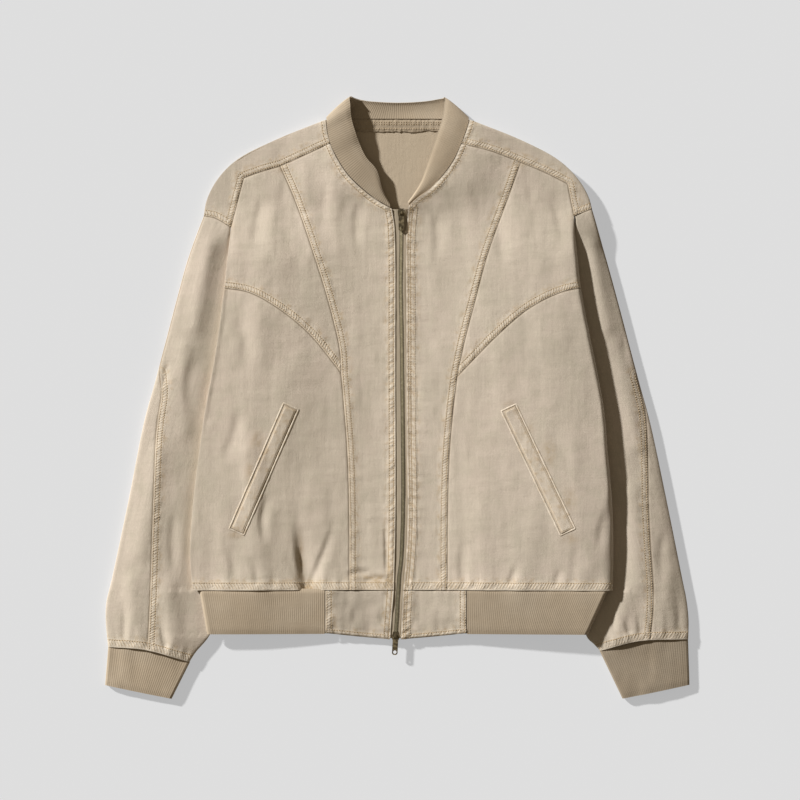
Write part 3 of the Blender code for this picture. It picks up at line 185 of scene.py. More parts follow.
# ------------------------------------------------------------------ plan lines
class PlanCurve:
    """A smooth plan line through a few points, read by its share of length or by its height."""

    SAMPLES = 24

    def __init__(self, points: Sequence[Point]) -> None:
        """Sample a centripetal curve through the points."""
        pts = [np.array(p, dtype=float) for p in points]
        pts = [2 * pts[0] - pts[1]] + pts + [2 * pts[-1] - pts[-2]]
        dense = []
        for span in zip(pts, pts[1:], pts[2:], pts[3:]):
            dense.extend(self._span(*span))
        dense.append(pts[-2])
        self._keep(np.array(dense))

    def _keep(self, points: Array) -> "PlanCurve":
        """Store the samples and the lengths along them."""
        self.points = points
        self.length = running(points)
        self.size = float(self.length[-1])
        return self

    def _span(self, p0: Array, p1: Array, p2: Array, p3: Array) -> list[Array]:
        """Samples from p1 up to, but not including, p2."""
        t1 = math.sqrt(np.linalg.norm(p1 - p0))
        t2 = t1 + math.sqrt(np.linalg.norm(p2 - p1))
        t3 = t2 + math.sqrt(np.linalg.norm(p3 - p2))
        found = []
        for t in np.linspace(t1, t2, self.SAMPLES, endpoint=False):
            a1 = (t1 - t) / t1 * p0 + t / t1 * p1
            a2 = (t2 - t) / (t2 - t1) * p1 + (t - t1) / (t2 - t1) * p2
            a3 = (t3 - t) / (t3 - t2) * p2 + (t - t2) / (t3 - t2) * p3
            b1 = (t2 - t) / t2 * a1 + t / t2 * a2
            b2 = (t3 - t) / (t3 - t1) * a2 + (t - t1) / (t3 - t1) * a3
            found.append((t2 - t) / (t2 - t1) * b1 + (t - t1) / (t2 - t1) * b2)
        return found

    def at(self, share: Array) -> Array:
        """Points at shares of the line's length."""
        goal = np.clip(share, 0.0, 1.0) * self.size
        x = np.interp(goal, self.length, self.points[:, 0])
        return np.stack([x, np.interp(goal, self.length, self.points[:, 1])], axis=-1)

    def x_at(self, y: Array) -> Array:
        """Where the line crosses given heights; it must run steadily up or down."""
        order = np.argsort(self.points[:, 1])
        return np.interp(y, self.points[order, 1], self.points[order, 0])

    def part(self, y_start: float, y_end: float) -> "PlanCurve":
        """The stretch between two heights, as a line of its own."""
        y = np.linspace(y_start, y_end, 14)
        return PlanCurve([Point(*p) for p in np.stack([self.x_at(y), y], axis=-1)])

    def turned(self) -> "PlanCurve":
        """The same line from its other end."""
        other = PlanCurve.__new__(PlanCurve)
        other.points = self.points[::-1]
        other.length = self.size - self.length[::-1]
        other.size = self.size
        return other


def joined(*curves: PlanCurve) -> PlanCurve:
    """Plan lines end to end as one line, with their corners kept."""
    points = np.concatenate([curves[0].points] + [c.points[1:] for c in curves[1:]])
    return PlanCurve.__new__(PlanCurve)._keep(points)


def straight(start: Sequence[float], end: Sequence[float]) -> PlanCurve:
    """Straight plan line between two points."""
    return PlanCurve([Point(*start), Point(*end)])


# ------------------------------------------------------------------ the cut
@dataclass(frozen=True)
class SideCut:
    """Plan lines of one side of the jacket, in millimetres."""

    sign: int
    body_edge: list[Point]
    tucked_edge: list[Point]
    princess_low: list[Point]
    princess_high: list[Point]
    chest_seam: list[Point]
    front_edge: list[Point]
    neckline: list[Point]
    neck_side: list[Point]
    yoke_seam_centre: list[Point]
    yoke_seam_chest: list[Point]
    armhole: list[Point]
    sleeve_seam: list[Point]
    shoulder: list[Point]
    sleeve_outer: list[Point]
    sleeve_inner: list[Point]
    cuff_seam: list[Point]
    cuff_end: list[Point]
    outer_seam: list[Point]
    rib_edge: list[Point]
    tab_bottom: list[Point]
    tab_zip: list[Point]
    welt: list[Point]

    @property
    def side(self) -> str:
        """Word for this side."""
        return "left" if self.sign < 0 else "right"


LEFT_TUCK = rows((-204, 150), (-186, 110), (-158, 50), (-140, 0), (-149, -50), (-162, -100),
                 (-178, -150), (-196, -200), (-212, -245), (-225, -275), (-236, -300))
LEFT = SideCut(
    sign=-1,
    body_edge=rows((-255.3, -240.6), (-258.8, -200), (-254.6, -128), (-247.8, -71.5),
                   (-239.9, -15), (-230.6, 35), (-223.7, 78.5), (-216.3, 135),
                   (-211.8, 178.5), (-208.2, 213.5)),
    tucked_edge=LEFT_TUCK[::-1] + rows((-211, 166), (-212.6, 180), (-212, 192), (-209, 213)),
    princess_low=rows((-60.3, -240.6), (-60.5, -150), (-62.6, -71.5), (-66.6, -15), (-70.5, 31)),
    princess_high=rows((-70.5, 31), (-72.5, 62), (-88, 126), (-101.6, 170), (-127.8, 246),
                       (-146.8, 290)),
    chest_seam=rows((-216, 137), (-184, 131), (-146.6, 110), (-109, 78.5), (-70.5, 31)),
    front_edge=rows((-4.3, -240.6), (-3.4, -209), (-2.2, -152), (-2.4, 60), (-2.4, 178),
                    (-3.6, 216), (-6.8, 236.4)),
    neckline=rows((-84.3, 318), (-76.9, 301.6), (-62.8, 279.8), (-45.3, 262.2),
                  (-25.9, 247.2), (-6.8, 236.4)),
    neck_side=rows((-84.3, 318), (-87.9, 333), (-89.7, 347.9)),
    yoke_seam_centre=rows((-146.8, 290), (-117.8, 302.9), (-84.3, 318)),
    yoke_seam_chest=rows((-192.4, 275.4), (-170, 283.4), (-146.8, 290)),
    armhole=rows((-208.2, 213.5), (-199.4, 248.5), (-192.4, 275.4)),
    sleeve_seam=rows((-242.4, 228), (-227.8, 224.8), (-208.2, 213.5)),
    shoulder=rows((-242.4, 228), (-239.1, 247), (-226.6, 272), (-202.8, 297), (-155.3, 322),
                  (-89.7, 347.9)),
    sleeve_outer=rows((-242.4, 228), (-262.8, 172), (-276.6, 122), (-302.8, 22),
                      (-316.6, -28), (-336.6, -128), (-357.8, -228), (-364.4, -256),
                      (-365.3, -278), (-362.2, -312)),
    sleeve_inner=(rows((-208.2, 213.5), (-212.4, 192), (-212.6, 180)) + LEFT_TUCK
                  + rows((-252, -319), (-259.7, -331))),
    cuff_seam=rows((-362.2, -312), (-315.3, -315.4), (-259.7, -331)),
    cuff_end=rows((-366.2, -360), (-325.3, -368.6), (-282.8, -377.2)),
    outer_seam=rows((-290, 31), (-300.3, -24), (-304.3, -96.5), (-306.8, -168),
                    (-309.1, -240), (-311.2, -288), (-312.8, -316)),
    rib_edge=rows((-237.8, -295), (-247.2, -241.2)),
    tab_bottom=rows((-90.3, -294.6), (-50, -299), (-8.9, -302.6)),
    tab_zip=rows((-4.3, -241.2), (-6.6, -270), (-8.9, -302.6)),
    welt=rows((-133.4, -12.1), (-200, -166.1)),
)

RIGHT_TUCK = rows((217, 150), (198, 110), (170, 50), (152, 0), (162, -50), (176, -100),
                  (193, -150), (210, -200), (224, -245), (232, -275), (237, -300))
RIGHT = SideCut(
    sign=1,
    body_edge=rows((269.2, -240.6), (269.9, -190), (268.2, -128), (263.1, -71.5),
                   (258.2, -15), (249.6, 33), (240.3, 78.5), (229.6, 135),
                   (224.9, 178.5), (220.7, 227.2)),
    tucked_edge=RIGHT_TUCK[::-1] + rows((224.4, 166), (225.7, 180), (224.8, 195), (221.5, 227)),
    princess_low=rows((62.6, -240.6), (62.8, -150), (65.1, -71.5), (69.9, -15), (74.9, 26.5)),
    princess_high=rows((74.9, 26.5), (84, 70), (97.9, 123.5), (113.4, 181), (143.4, 263.5),
                       (154.1, 294.5)),
    chest_seam=rows((229.4, 137), (203.4, 131), (165.9, 112.3), (128.4, 81), (74.9, 26.5)),
    front_edge=rows((6.9, -240.6), (10.3, -203), (12.6, -150), (11.3, -28), (10.9, 122),
                    (10.9, 205), (14, 239.9)),
    neckline=rows((80.2, 317.5), (69.7, 295.2), (55.4, 276), (39.4, 259.8), (26, 250.2),
                  (14, 239.9)),
    neck_side=rows((80.2, 317.5), (86, 333), (90.4, 347.9)),
    yoke_seam_centre=rows((154.1, 294.5), (118.4, 307.9), (80.2, 317.5)),
    yoke_seam_chest=rows((212.8, 267.5), (184, 282), (154.1, 294.5)),
    armhole=rows((220.7, 227.2), (216.6, 247.2), (212.8, 267.5)),
    sleeve_seam=rows((243.4, 236), (232, 231.6), (220.7, 227.2)),
    shoulder=rows((243.4, 236), (239.7, 250), (227.2, 272), (202.2, 297), (155.9, 322),
                  (90.4, 347.9)),
    sleeve_outer=rows((243.4, 236), (262.2, 172), (275.9, 122), (302.2, 22), (315.9, -28),
                      (337.2, -128), (357.2, -228), (362.4, -254), (364.8, -278),
                      (364.4, -302.3)),
    sleeve_inner=(rows((220.7, 227.2), (225.2, 195), (225.9, 180)) + RIGHT_TUCK
                  + rows((246, -309), (253.4, -317))),
    cuff_seam=rows((364.4, -302.3), (301.4, -304.4), (253.4, -317)),
    cuff_end=rows((366.2, -359.6), (324.7, -368.4), (282.2, -377)),
    outer_seam=rows((299, 28.5), (309.7, -10), (313.4, -73), (314.7, -144), (318.2, -204),
                    (320.6, -252), (316, -304)),
    rib_edge=rows((237.4, -297), (262.6, -241.2)),
    tab_bottom=rows((86.6, -294.6), (46, -299), (4.3, -302.6)),
    tab_zip=rows((6.9, -241.2), (5.4, -270), (4.3, -302.6)),
    welt=rows((139.7, -13.6), (212.1, -165.9)),
)
CUTS = {-1: LEFT, 1: RIGHT}
ZIP_LINE = PlanCurve(rows(
    (5.1, 237), (4.9, 195), (4.2, 142), (5.1, 90), (5.8, 37), (6.6, -30), (7.2, -120),
    (6.4, -165), (4.8, -202), (2.0, -226), (0.4, -256), (-1.6, -290), (-2.3, -303)))
TAB_OUTER = {-1: -90.3, 1: 86.6}


# ------------------------------------------------------------------ folds and creases
@dataclass(frozen=True)
class Fold:
    """A soft ridge along a straight line, with its half width and height."""

    x0: float
    y0: float
    x1: float
    y1: float
    width: float
    height: float

    def rise(self, x: Array, y: Array) -> Array:
        """Height that the ridge adds at plan points."""
        ax, ay = self.x1 - self.x0, self.y1 - self.y0
        share = np.clip(((x - self.x0) * ax + (y - self.y0) * ay) / (ax * ax + ay * ay), 0, 1)
        gap = np.hypot(x - self.x0 - share * ax, y - self.y0 - share * ay)
        return self.height * bump(gap, self.width)


@dataclass(frozen=True)
class Crease:
    """A trough along a bent line, steeper on one side, deepest near one end.

    Attributes:
        line: Plan points of its bottom, from the end where it fades in.
        depth: How deep it is at its deepest.
        left: Half width on its left as seen, for a line that runs down the picture.
        right: Half width on its right as seen.
        peak: Share of its length at which it is deepest.
        lip: Height of the ridge that stands beside it on the wider side.
    """

    line: list[Point]
    depth: float
    left: float
    right: float
    peak: float = 0.6
    lip: float = 0.35

    def rise(self, x: Array, y: Array) -> Array:
        """Height that the crease adds, mostly below nought, at plan points."""
        path = PlanCurve(self.line)
        reach = 3.2 * max(self.left, self.right)
        low, high = path.points.min(axis=0) - reach, path.points.max(axis=0) + reach
        near = (x > low[0]) & (x < high[0]) & (y > low[1]) & (y < high[1])
        total = np.zeros(np.shape(x))
        if not near.any():
            return total
        points = np.stack([x[near], y[near]], axis=-1)
        gap, along = nearest_on(points, path.points)
        share = along / path.size
        ahead = path.at(share + 0.01) - path.at(share - 0.01)
        offset = points - path.at(share)
        on_left = ahead[:, 0] * offset[:, 1] - ahead[:, 1] * offset[:, 0] < 0
        width = np.where(on_left, self.left, self.right)
        strength = np.where(share < self.peak, share / self.peak,
                            (1 - share) / max(1 - self.peak, 1e-3))
        strength = ease(strength * 1.25)
        wide_side = on_left == (self.left > self.right)
        ridge = self.lip * np.exp(-((gap - 2.1 * width) / width) ** 2) * wide_side
        total[near] = self.depth * strength * (ridge - np.exp(-((gap / width) ** 2)))
        return total


class Mark(NamedTuple):
    """A place where the cloth is drawn darker, some a rusty mark, some painted shade in a fold:
    middle, half sizes and strength.
    """

    x: float
    y: float
    half_wide: float
    half_high: float
    strength: float


DARKEST_MARK = 1.3
MARKS = [
    # beside and inside the left pocket
    Mark(-176, -53, 7, 10, 0.85), Mark(-184, -90, 6, 14, 0.77), Mark(-166, -76, 4, 20, 0.68),
    Mark(-140, -26, 6, 5, 1.10), Mark(-201, -171, 9, 4, 0.94), Mark(-131, -14, 9, 4, 0.59),
    # beside and below the right pocket
    Mark(189, -70, 7, 14, 0.94), Mark(214, -128, 8, 13, 0.85), Mark(216, -176, 8, 5, 0.85),
    Mark(166, -40, 4, 12, 0.51), Mark(140, -8, 7, 4, 0.68),
    # painted shade down the deep fold and across the crumple beside the zip
    Mark(-122, -204, 4, 30, 1.27), Mark(-111, -238, 9, 9, 1.50),
    Mark(-30, -226, 22, 5, 1.02), Mark(-18, -233, 12, 5, 1.02), Mark(-10, -212, 2, 18, 1.36),
    Mark(-50, -240, 30, 4, 0.59), Mark(60, -236, 18, 3, 0.68),
    # where the yokes and the neck are sewn
    Mark(-148, 288, 8, 6, 0.77), Mark(154, 292, 8, 6, 0.77), Mark(-46, 258, 10, 5, 0.68),
    Mark(-208, 214, 6, 6, 0.68), Mark(221, 226, 6, 6, 0.68), Mark(-64, 34, 8, 8, 0.51),
    Mark(70, 30, 8, 8, 0.51), Mark(-216, 134, 6, 6, 0.59),
]


def marked(x: Array, y: Array) -> Array:
    """How far the cloth at plan points is drawn darker by rusty marks and painted shade, from 0 to
    1.
    """
    total = sum(m.strength * np.exp(-((x - m.x) / m.half_wide) ** 2
                                    - ((y - m.y) / m.half_high) ** 2) for m in MARKS)
    return np.minimum(total, DARKEST_MARK)


def folds(*table: tuple[float, ...]) -> list[Fold]:
    """Folds from a table of their two ends, half width and height."""
    return [Fold(*sizes) for sizes in table]


def creases(*table: tuple) -> list[Crease]:
    """Creases from a table: the points of the line, then the sizes in their order."""
    return [Crease(rows(*line), *sizes) for line, *sizes in table]


FRONT_FOLDS = folds(
    (-182, -70, -172, -236, 20, 3.0),
    (-104, -120, -96, -238, 17, 2.8),
    (-134, 30, -142, -70, 20, 2.0),
    (-34, -150, -26, -238, 15, 2.0),
    (-46, 190, -38, -20, 24, 1.8),
    (-158, 232, -172, 70, 24, 2.0),
    (40, 170, 36, -60, 22, 1.8),
    (98, -90, 104, -238, 20, 2.6),
    (168, -160, 152, -240, 18, 3.0),
    (222, -60, 240, -205, 20, 2.6),
    (150, 220, 184, 70, 24, 2.2),
    (128, 60, 132, -30, 22, 1.6),
)
SLEEVE_FOLDS = folds(
    (-236, 190, -252, 90, 12, 1.8),
    (-268, 60, -262, -40, 13, 1.6),
    (-300, -70, -322, -190, 14, 2.0),
    (-262, -120, -268, -230, 14, 1.8),
    (-334, -230, -330, -296, 11, 1.8),
    (-286, -240, -276, -312, 12, 2.0),
    (246, 190, 262, 90, 12, 1.8),
    (290, 40, 300, -60, 13, 1.8),
    (330, -90, 342, -190, 12, 1.6),
    (292, -120, 300, -230, 14, 2.0),
    (342, -220, 336, -286, 11, 1.8),
    (284, -240, 274, -300, 12, 2.2),
)
FRONT_CREASES = creases(
    # the deep fold above the left hem and its branch
    (((-127, -156), (-122, -192), (-113, -250)), 4.2, 5.4, 20.0, 0.90, 0.0),
    (((-74, -138), (-88, -180), (-112, -240)), 1.1, 2.6, 6.0, 0.72, 0.25),
    (((-138, -190), (-130, -216), (-116, -243)), 0.7, 4.5, 5.0, 0.8, 0.20),
    # beside and below the left pocket
    (((-160, -114), (-170, -150), (-166, -188)), 1.5, 2.8, 7.0, 0.5, 0.20),
    (((-128, -140), (-124, -180), (-119, -225)), 0.8, 3.6, 9.0, 0.6, 0.20),
    (((-214, -178), (-206, -205), (-204, -232)), 1.1, 5.0, 8.0, 0.6, 0.30),
    (((-187, -196), (-178, -214), (-176, -236)), 0.9, 4.0, 6.0, 0.8, 0.30),
    # crumple left of the zip above the hem
    (((-70, -226), (-48, -219), (-20, -223)), 1.0, 3.0, 3.6, 0.5, 0.45),
    (((-44, -232), (-30, -226), (-8, -230)), 1.1, 2.6, 3.0, 0.5, 0.45),
    (((-16, -150), (-14, -190), (-13, -232)), 1.2, 2.4, 4.5, 0.6, 0.30),
    # right half
    (((262, -130), (254, -165), (250, -196)), 1.3, 4.6, 10.0, 0.5, 0.25),
    (((148, -204), (144, -222), (140, -236)), 1.5, 3.0, 5.5, 0.7),
    (((206, -208), (200, -222), (196, -238)), 1.0, 3.0, 5.0, 0.8),
    (((228, -166), (222, -200), (220, -236)), 0.8, 5.0, 9.0, 0.5, 0.25),
    (((84, -170), (80, -200), (82, -236)), 1.0, 4.0, 7.0, 0.7, 0.30),
    (((116, 236), (128, 200), (131, 150)), 1.0, 6.0, 10.0, 0.4, 0.40),
    (((46, 236), (50, 200), (44, 150)), 1.0, 5.0, 9.0, 0.3, 0.40),
    (((-48, 250), (-52, 210), (-46, 160)), 1.0, 5.0, 9.0, 0.3, 0.40),
    (((-168, 260), (-176, 215), (-178, 170)), 1.1, 6.0, 11.0, 0.4, 0.40),
    (((190, 262), (202, 220), (208, 170)), 1.1, 6.0, 11.0, 0.4, 0.40),
    # soft pleats that hang from the neck seam and the yokes
    (((-30, 244), (-36, 195), (-32, 110)), 0.30, 4.0, 8.0, 0.2, 0.20),
    (((-62, 270), (-70, 215), (-66, 120)), 0.34, 4.5, 9.0, 0.2, 0.20),
    (((-80, 292), (-92, 250), (-96, 180)), 0.30, 3.6, 7.0, 0.2, 0.20),
    (((32, 250), (37, 195), (30, 90)), 0.30, 4.0, 8.0, 0.2, 0.20),
    (((60, 278), (71, 225), (68, 130)), 0.34, 4.5, 9.0, 0.2, 0.20),
    (((84, 298), (98, 250), (104, 190)), 0.30, 3.6, 7.0, 0.2, 0.20),
    (((-138, 282), (-147, 235), (-152, 150)), 0.36, 5.0, 9.0, 0.3, 0.25),
    (((160, 284), (170, 235), (176, 150)), 0.36, 5.0, 9.0, 0.3, 0.25),
    # drag lines from the pockets' ends
    (((-196, -12), (-206, -50), (-222, -84)), 0.8, 5.0, 9.0, 0.4, 0.30),
    (((184, -42), (204, -66), (218, -96)), 0.7, 4.5, 8.0, 0.3, 0.30),
    (((-206, 118), (-190, 70), (-196, 20)), 1.0, 7.0, 11.0, 0.4, 0.40),
)
SLEEVE_CREASES = creases(
    (((-288, 50), (-291, 28), (-292, 8)), 1.2, 3.0, 5.0, 0.5),
    (((-250, 60), (-262, 20), (-258, -30)), 1.3, 5.0, 8.0, 0.5),
    (((-276, -130), (-282, -180), (-278, -228)), 1.2, 5.0, 8.0, 0.5),
    (((-346, -246), (-342, -276), (-344, -306)), 1.2, 3.0, 5.0, 0.8),
    (((-332, -268), (-330, -290), (-330, -310)), 1.0, 3.0, 4.0, 0.9),
    (((-298, -272), (-294, -296), (-290, -316)), 1.2, 3.0, 5.0, 0.8),
    (((284, -270), (286, -282), (290, -296)), 1.0, 3.0, 5.0, 0.8),
    (((298, -262), (302, -284), (303, -300)), 0.7, 2.5, 4.0, 0.8),
    (((332, -250), (336, -276), (334, -300)), 0.6, 3.0, 5.0, 0.8),
    (((348, -240), (352, -268), (350, -296)), 1.0, 3.0, 4.0, 0.8),
    (((292, 96), (284, 60), (292, 22)), 0.7, 5.0, 8.0, 0.5),
    (((336, -160), (330, -196), (334, -232)), 1.0, 5.0, 8.0, 0.5),
    (((262, -262), (268, -276), (272, -292)), 0.8, 3.0, 4.0, 0.7),
)
BACK_CREASES = creases(
    (((-120, 180), (-150, 90), (-140, 0)), 1.0, 8.0, 12.0, 0.5, 0.3),
    (((90, 150), (120, 60), (104, -60)), 1.0, 8.0, 12.0, 0.5, 0.3),
    (((-30, -60), (-44, -140), (-38, -220)), 1.0, 7.0, 10.0, 0.6, 0.3),
    (((60, -90), (52, -160), (58, -226)), 0.9, 6.0, 9.0, 0.6, 0.3),
)


class Lie:
    """How the jacket lies: the heights of its layers over the surface."""

    LOFT = 0.6                # air under the front everywhere
    ZIP_RISE = (1.9, 26.0)    # height and half width of the ridge that the zip makes
    HEM_RISE = (1.2, 34.0)    # the same for the ridge along the hem rib
    HEM_RISE_Y = -262.0
    NECK_RISE = (5.6, 46.0)   # and for the ridge round the neck, at its radius
    NECK_RADIUS = 80.0
    NECK_CENTRE = Point(1.0, 330.0)
    BROAD = Grain(3, 64.0, 120.0)
    STREAK = Grain(5, 19.0, 84.0)
    FINE = Grain(7, 10.5, 17.0)
    FOLD_SHARE = 0.35         # how much of the large folds shows in the cloth
    FULLNESS = {-1: 2.6, 1: 10.0}    # air under the folded sides

    def __init__(self) -> None:
        """Read the plan lines that the heights follow."""
        def both(name: str) -> dict[int, PlanCurve]:
            return {sign: PlanCurve(getattr(cut, name)) for sign, cut in CUTS.items()}
        self.body_edge = both("body_edge")
        self.tucked_edge = both("tucked_edge")
        self.sleeve_outer = both("sleeve_outer")
        self.sleeve_inner = both("sleeve_inner")
        self.rib_edge = both("rib_edge")

    @staticmethod
    def sleeve_share(y: Array) -> Array:
        """How far a tucked sleeve lifts the body: 1 below the armhole, 0 above it."""
        return 1 - ease((y - ARMHOLE_FADE[0]) / (ARMHOLE_FADE[1] - ARMHOLE_FADE[0]))

    def support(self, x: Array, y: Array) -> Array:
        """Height of what the body's back lies on: the floor or a tucked sleeve."""
        height = np.zeros(np.shape(x))
        fade = self.sleeve_share(y)
        for sign, edge in self.tucked_edge.items():
            inside = (edge.x_at(y) - x) * sign
            height = np.maximum(height, SLEEVE_LIFT * fade * (1 - ease((inside - 5) / TUCK_FALL)))
        return height

    def front_plain(self, x: Array, y: Array) -> Array:
        """Height of the front's upper face without its creases: stiff cloth bridges the sleeves."""
        loft = self.LOFT + self.FOLD_SHARE * sum(f.rise(x, y) for f in FRONT_FOLDS)
        for sign, edge in self.body_edge.items():
            outer, middle = edge.x_at(y), ZIP_LINE.x_at(y)
            share = np.clip((x - middle) / (outer - middle), 0.0, 1.0)
            fullness = self.FULLNESS[sign] - 2.6 * ease((y - 60) / 150)
            fullness = fullness - 2.2 * ease((-150 - y) / 90)
            lift = SLEEVE_LIFT * self.sleeve_share(y) + fullness
            rise = ease(1.15 * share) if sign < 0 else 1 - (1 - share) ** 1.04
            loft = loft + lift * rise
        (zip_rise, zip_wide), (hem_rise, hem_wide) = self.ZIP_RISE, self.HEM_RISE
        loft = (loft + zip_rise * bump(x - ZIP_LINE.x_at(y), zip_wide)
                + hem_rise * bump(y - self.HEM_RISE_Y, hem_wide))
        neck = np.hypot((x - self.NECK_CENTRE.x) * 0.95, y - self.NECK_CENTRE.y)
        neck_rise, neck_wide = self.NECK_RISE
        near_neck = bump(np.maximum(neck - self.NECK_RADIUS, 0), neck_wide)
        loft = loft + neck_rise * near_neck * ease((y - 205) / 70)
        return BODY_STACK + loft

    def edge_roll(self, sign: int, y: Array) -> Array:
        """Radius of the body's folded side, fuller low on the right."""
        wide = 9.0 * ease((-105 - y) / 50) if sign > 0 else 2.0
        return BODY_ROLL + 1.0 + wide + 0 * y

    @staticmethod
    def edge_middle(x: Array, y: Array) -> Array:
        """Share of the body's height at which its folded edge reaches out furthest."""
        return np.where(x < 0, 0.96, 0.5 + 0.4 * ease((y - 195) / 30))

    def still(self, x: Array, y: Array) -> Array:
        """1 inside the front, falling to 0 at its folded sides and beside the zip."""
        calm = ease((np.abs(x - ZIP_LINE.x_at(y)) - 2.0) / 16.0)
        for sign, edge in self.body_edge.items():
            calm = calm * ease((edge.x_at(y) - x) * sign / 7.0 + 0.1)
        return calm

    def crumple(self, x: Array, y: Array) -> Array:
        """Shallow uneven waves of washed cloth."""
        return (0.70 * self.BROAD.at(x, y) + 0.42 * self.STREAK.at(x + 0.08 * y, y)
                + 0.15 * self.FINE.at(x, y) + 0.10 * self.FINE.at(1.9 * y, 0.6 * x))

    def front(self, x: Array, y: Array) -> Array:
        """Height of the front's upper face with its creases."""
        detail = sum(c.rise(x, y) for c in FRONT_CREASES) + self.crumple(x, y)
        return self.front_plain(x, y) + detail * self.still(x, y)

    def cover_edge(self, sign: int, y: Array) -> Array:
        """Where the body or its rib begins to cover a sleeve."""
        body = self.body_edge[sign].x_at(y) + sign * COVER_CLEAR
        rib = self.rib_edge[sign].x_at(y) + sign * COVER_CLEAR
        below = np.where(y > RIB_LOW_Y - 2, rib, self.sleeve_inner[sign].x_at(y))
        return np.where(y > HEM_Y, body, below)

    def sleeve(self, sign: int, x: Array, y: Array) -> Array:
        """Height of the upper face of a sleeve."""
        outer = self.sleeve_outer[sign].x_at(y)
        share = np.clip((x - outer) / (self.cover_edge(sign, y) - outer), 0.0, 1.0)
        swell = np.sin(np.pi * share)
        crown = 2.6 + 1.6 * ease((-y - 120) / 140)
        own = SLEEVE_PRESSED + (crown + sum(f.rise(x, y) for f in SLEEVE_FOLDS)) * swell
        detail = sum(c.rise(x, y) for c in SLEEVE_CREASES) + 0.55 * self.crumple(x, y)
        own = own + detail * np.minimum(1.0, 2.2 * swell)
        blend = 1 - ease((CUTS[sign].sleeve_seam[0].y - y) / 55)
        return own + (self.front(x, y) - own) * blend

    def rib(self, x: Array, y: Array) -> Array:
        """Height of the front of the hem rib."""
        soft = self.front_plain(x, y) + 0.35 * self.crumple(x, y)
        return np.maximum(soft - 0.35, self.support(x, y) + 2 * RIB_WALL + 1.8)

    def tape(self, x: Array, y: Array) -> Array:
        """Height of the zip tape's upper face."""
        offset = x - ZIP_LINE.x_at(y)
        under = ease((np.abs(offset) - np.where(offset < 0, 9.4, 6.5)) / 2.5)
        return self.front_plain(x, y) - 0.5 - 2.2 * under


LIE = Lie()


# ------------------------------------------------------------------ how edges are sewn
class SeamLook(NamedTuple):
    """Relief beside a sewn edge, in millimetres.

    Attributes:
        band: Width of the doubled cloth beside the seam; 0 for the side without it.
        rise: How far the doubled cloth stands up.
        rows: Distances of the stitch rows from the seam.
        pucker: Strength of the small slanted puckers between the rows.
        pitch: Distance from one pucker to the next.
        folded: 1 where the edge is a fold, 0 where it is sewn to the next panel.
    """

    band: float
    rise: float
    rows: tuple[float, ...]
    pucker: float
    pitch: float = 3.75
    folded: float = 0.0


class Sewing(Enum):
    """How an edge of a panel is sewn."""

    PLAIN = SeamLook(0.0, 0.0, (), 0.0)
    FELLED = SeamLook(9.0, 0.22, (2.2, 7.8), 0.95, 3.6)
    YOKE = SeamLook(8.4, 0.22, (2.0, 7.4), 0.95, 3.6)
    HEM = SeamLook(10.4, 0.38, (9.2,), 1.0, 3.75, 1.0)
    PLACKET_LEFT = SeamLook(9.2, 0.30, (2.4, 8.0), 1.0, 8.2, 1.0)
    PLACKET_RIGHT = SeamLook(12.2, 0.30, (3.0, 6.0, 11.0), 1.0, 8.2, 1.0)
    NECK = SeamLook(6.4, 0.34, (5.2,), 1.0, 5.0, 1.0)
    WELT = SeamLook(2.0, 0.10, (1.6,), 0.6, 3.6)


PLACKET = {-1: Sewing.PLACKET_LEFT, 1: Sewing.PLACKET_RIGHT}


@dataclass
class Seam:
    """A sewn edge: its plan line and how it is sewn."""

    line: PlanCurve
    sewing: Sewing


SEAM_APART = 977.0    # lengths along the seams of a panel are counted this far apart
NO_ROW = -9.0         # distance that stands for a row of stitches that isn't there
PUCKER_NOISE = Grain(11, 6.5, 400.0)
PUCKER_WIDE = Grain(13, 15.0, 400.0)
PUCKER_DRAG = Grain(17, 5.4, 400.0)


def seam_field(plan: Array, seams: Sequence[Seam]) -> dict[str, Array]:
    """Where each plan point lies beside the nearest seam of its panel.

    Args:
        plan: Plan grid of the panel, with n points.
        seams: The sewn edges.

    Returns:
        seam: n by 3, puckers counted along, distance and band width in millimetres.
        rows: n by 3, distances of two stitch rows and whether the edge is folded.
        pucker: n long, the puckers' strength.
        relief: The height that the seams add, over the grid.
    """
    points = plan.reshape(-1, 2)
    best = np.full(len(points), 1e6)
    field_ = np.zeros((len(points), 3))
    marks = np.zeros((len(points), 3))
    pucker = np.zeros(len(points))
    relief = np.zeros(len(points))
    for number, seam in enumerate(seams):
        gap, along = nearest_on(points, seam.line.points)
        along = along + SEAM_APART * number
        look = seam.sewing.value
        turns = (along + 0.55 * gap) / look.pitch + 0.55 * PUCKER_WIDE.at(along, gap)
        relief += seam_relief(along, gap, turns, look)
        closer = gap - look.band < best
        best = np.where(closer, gap - look.band, best)
        field_[closer] = np.stack([turns, gap, np.full_like(gap, look.band)], axis=-1)[closer]
        pucker[closer] = look.pucker
        row = (look.rows + (NO_ROW, NO_ROW))[:2]
        marks[closer] = (*row, look.folded)
    return {"seam": field_, "rows": marks, "pucker": pucker,
            "relief": relief.reshape(plan.shape[:-1])}


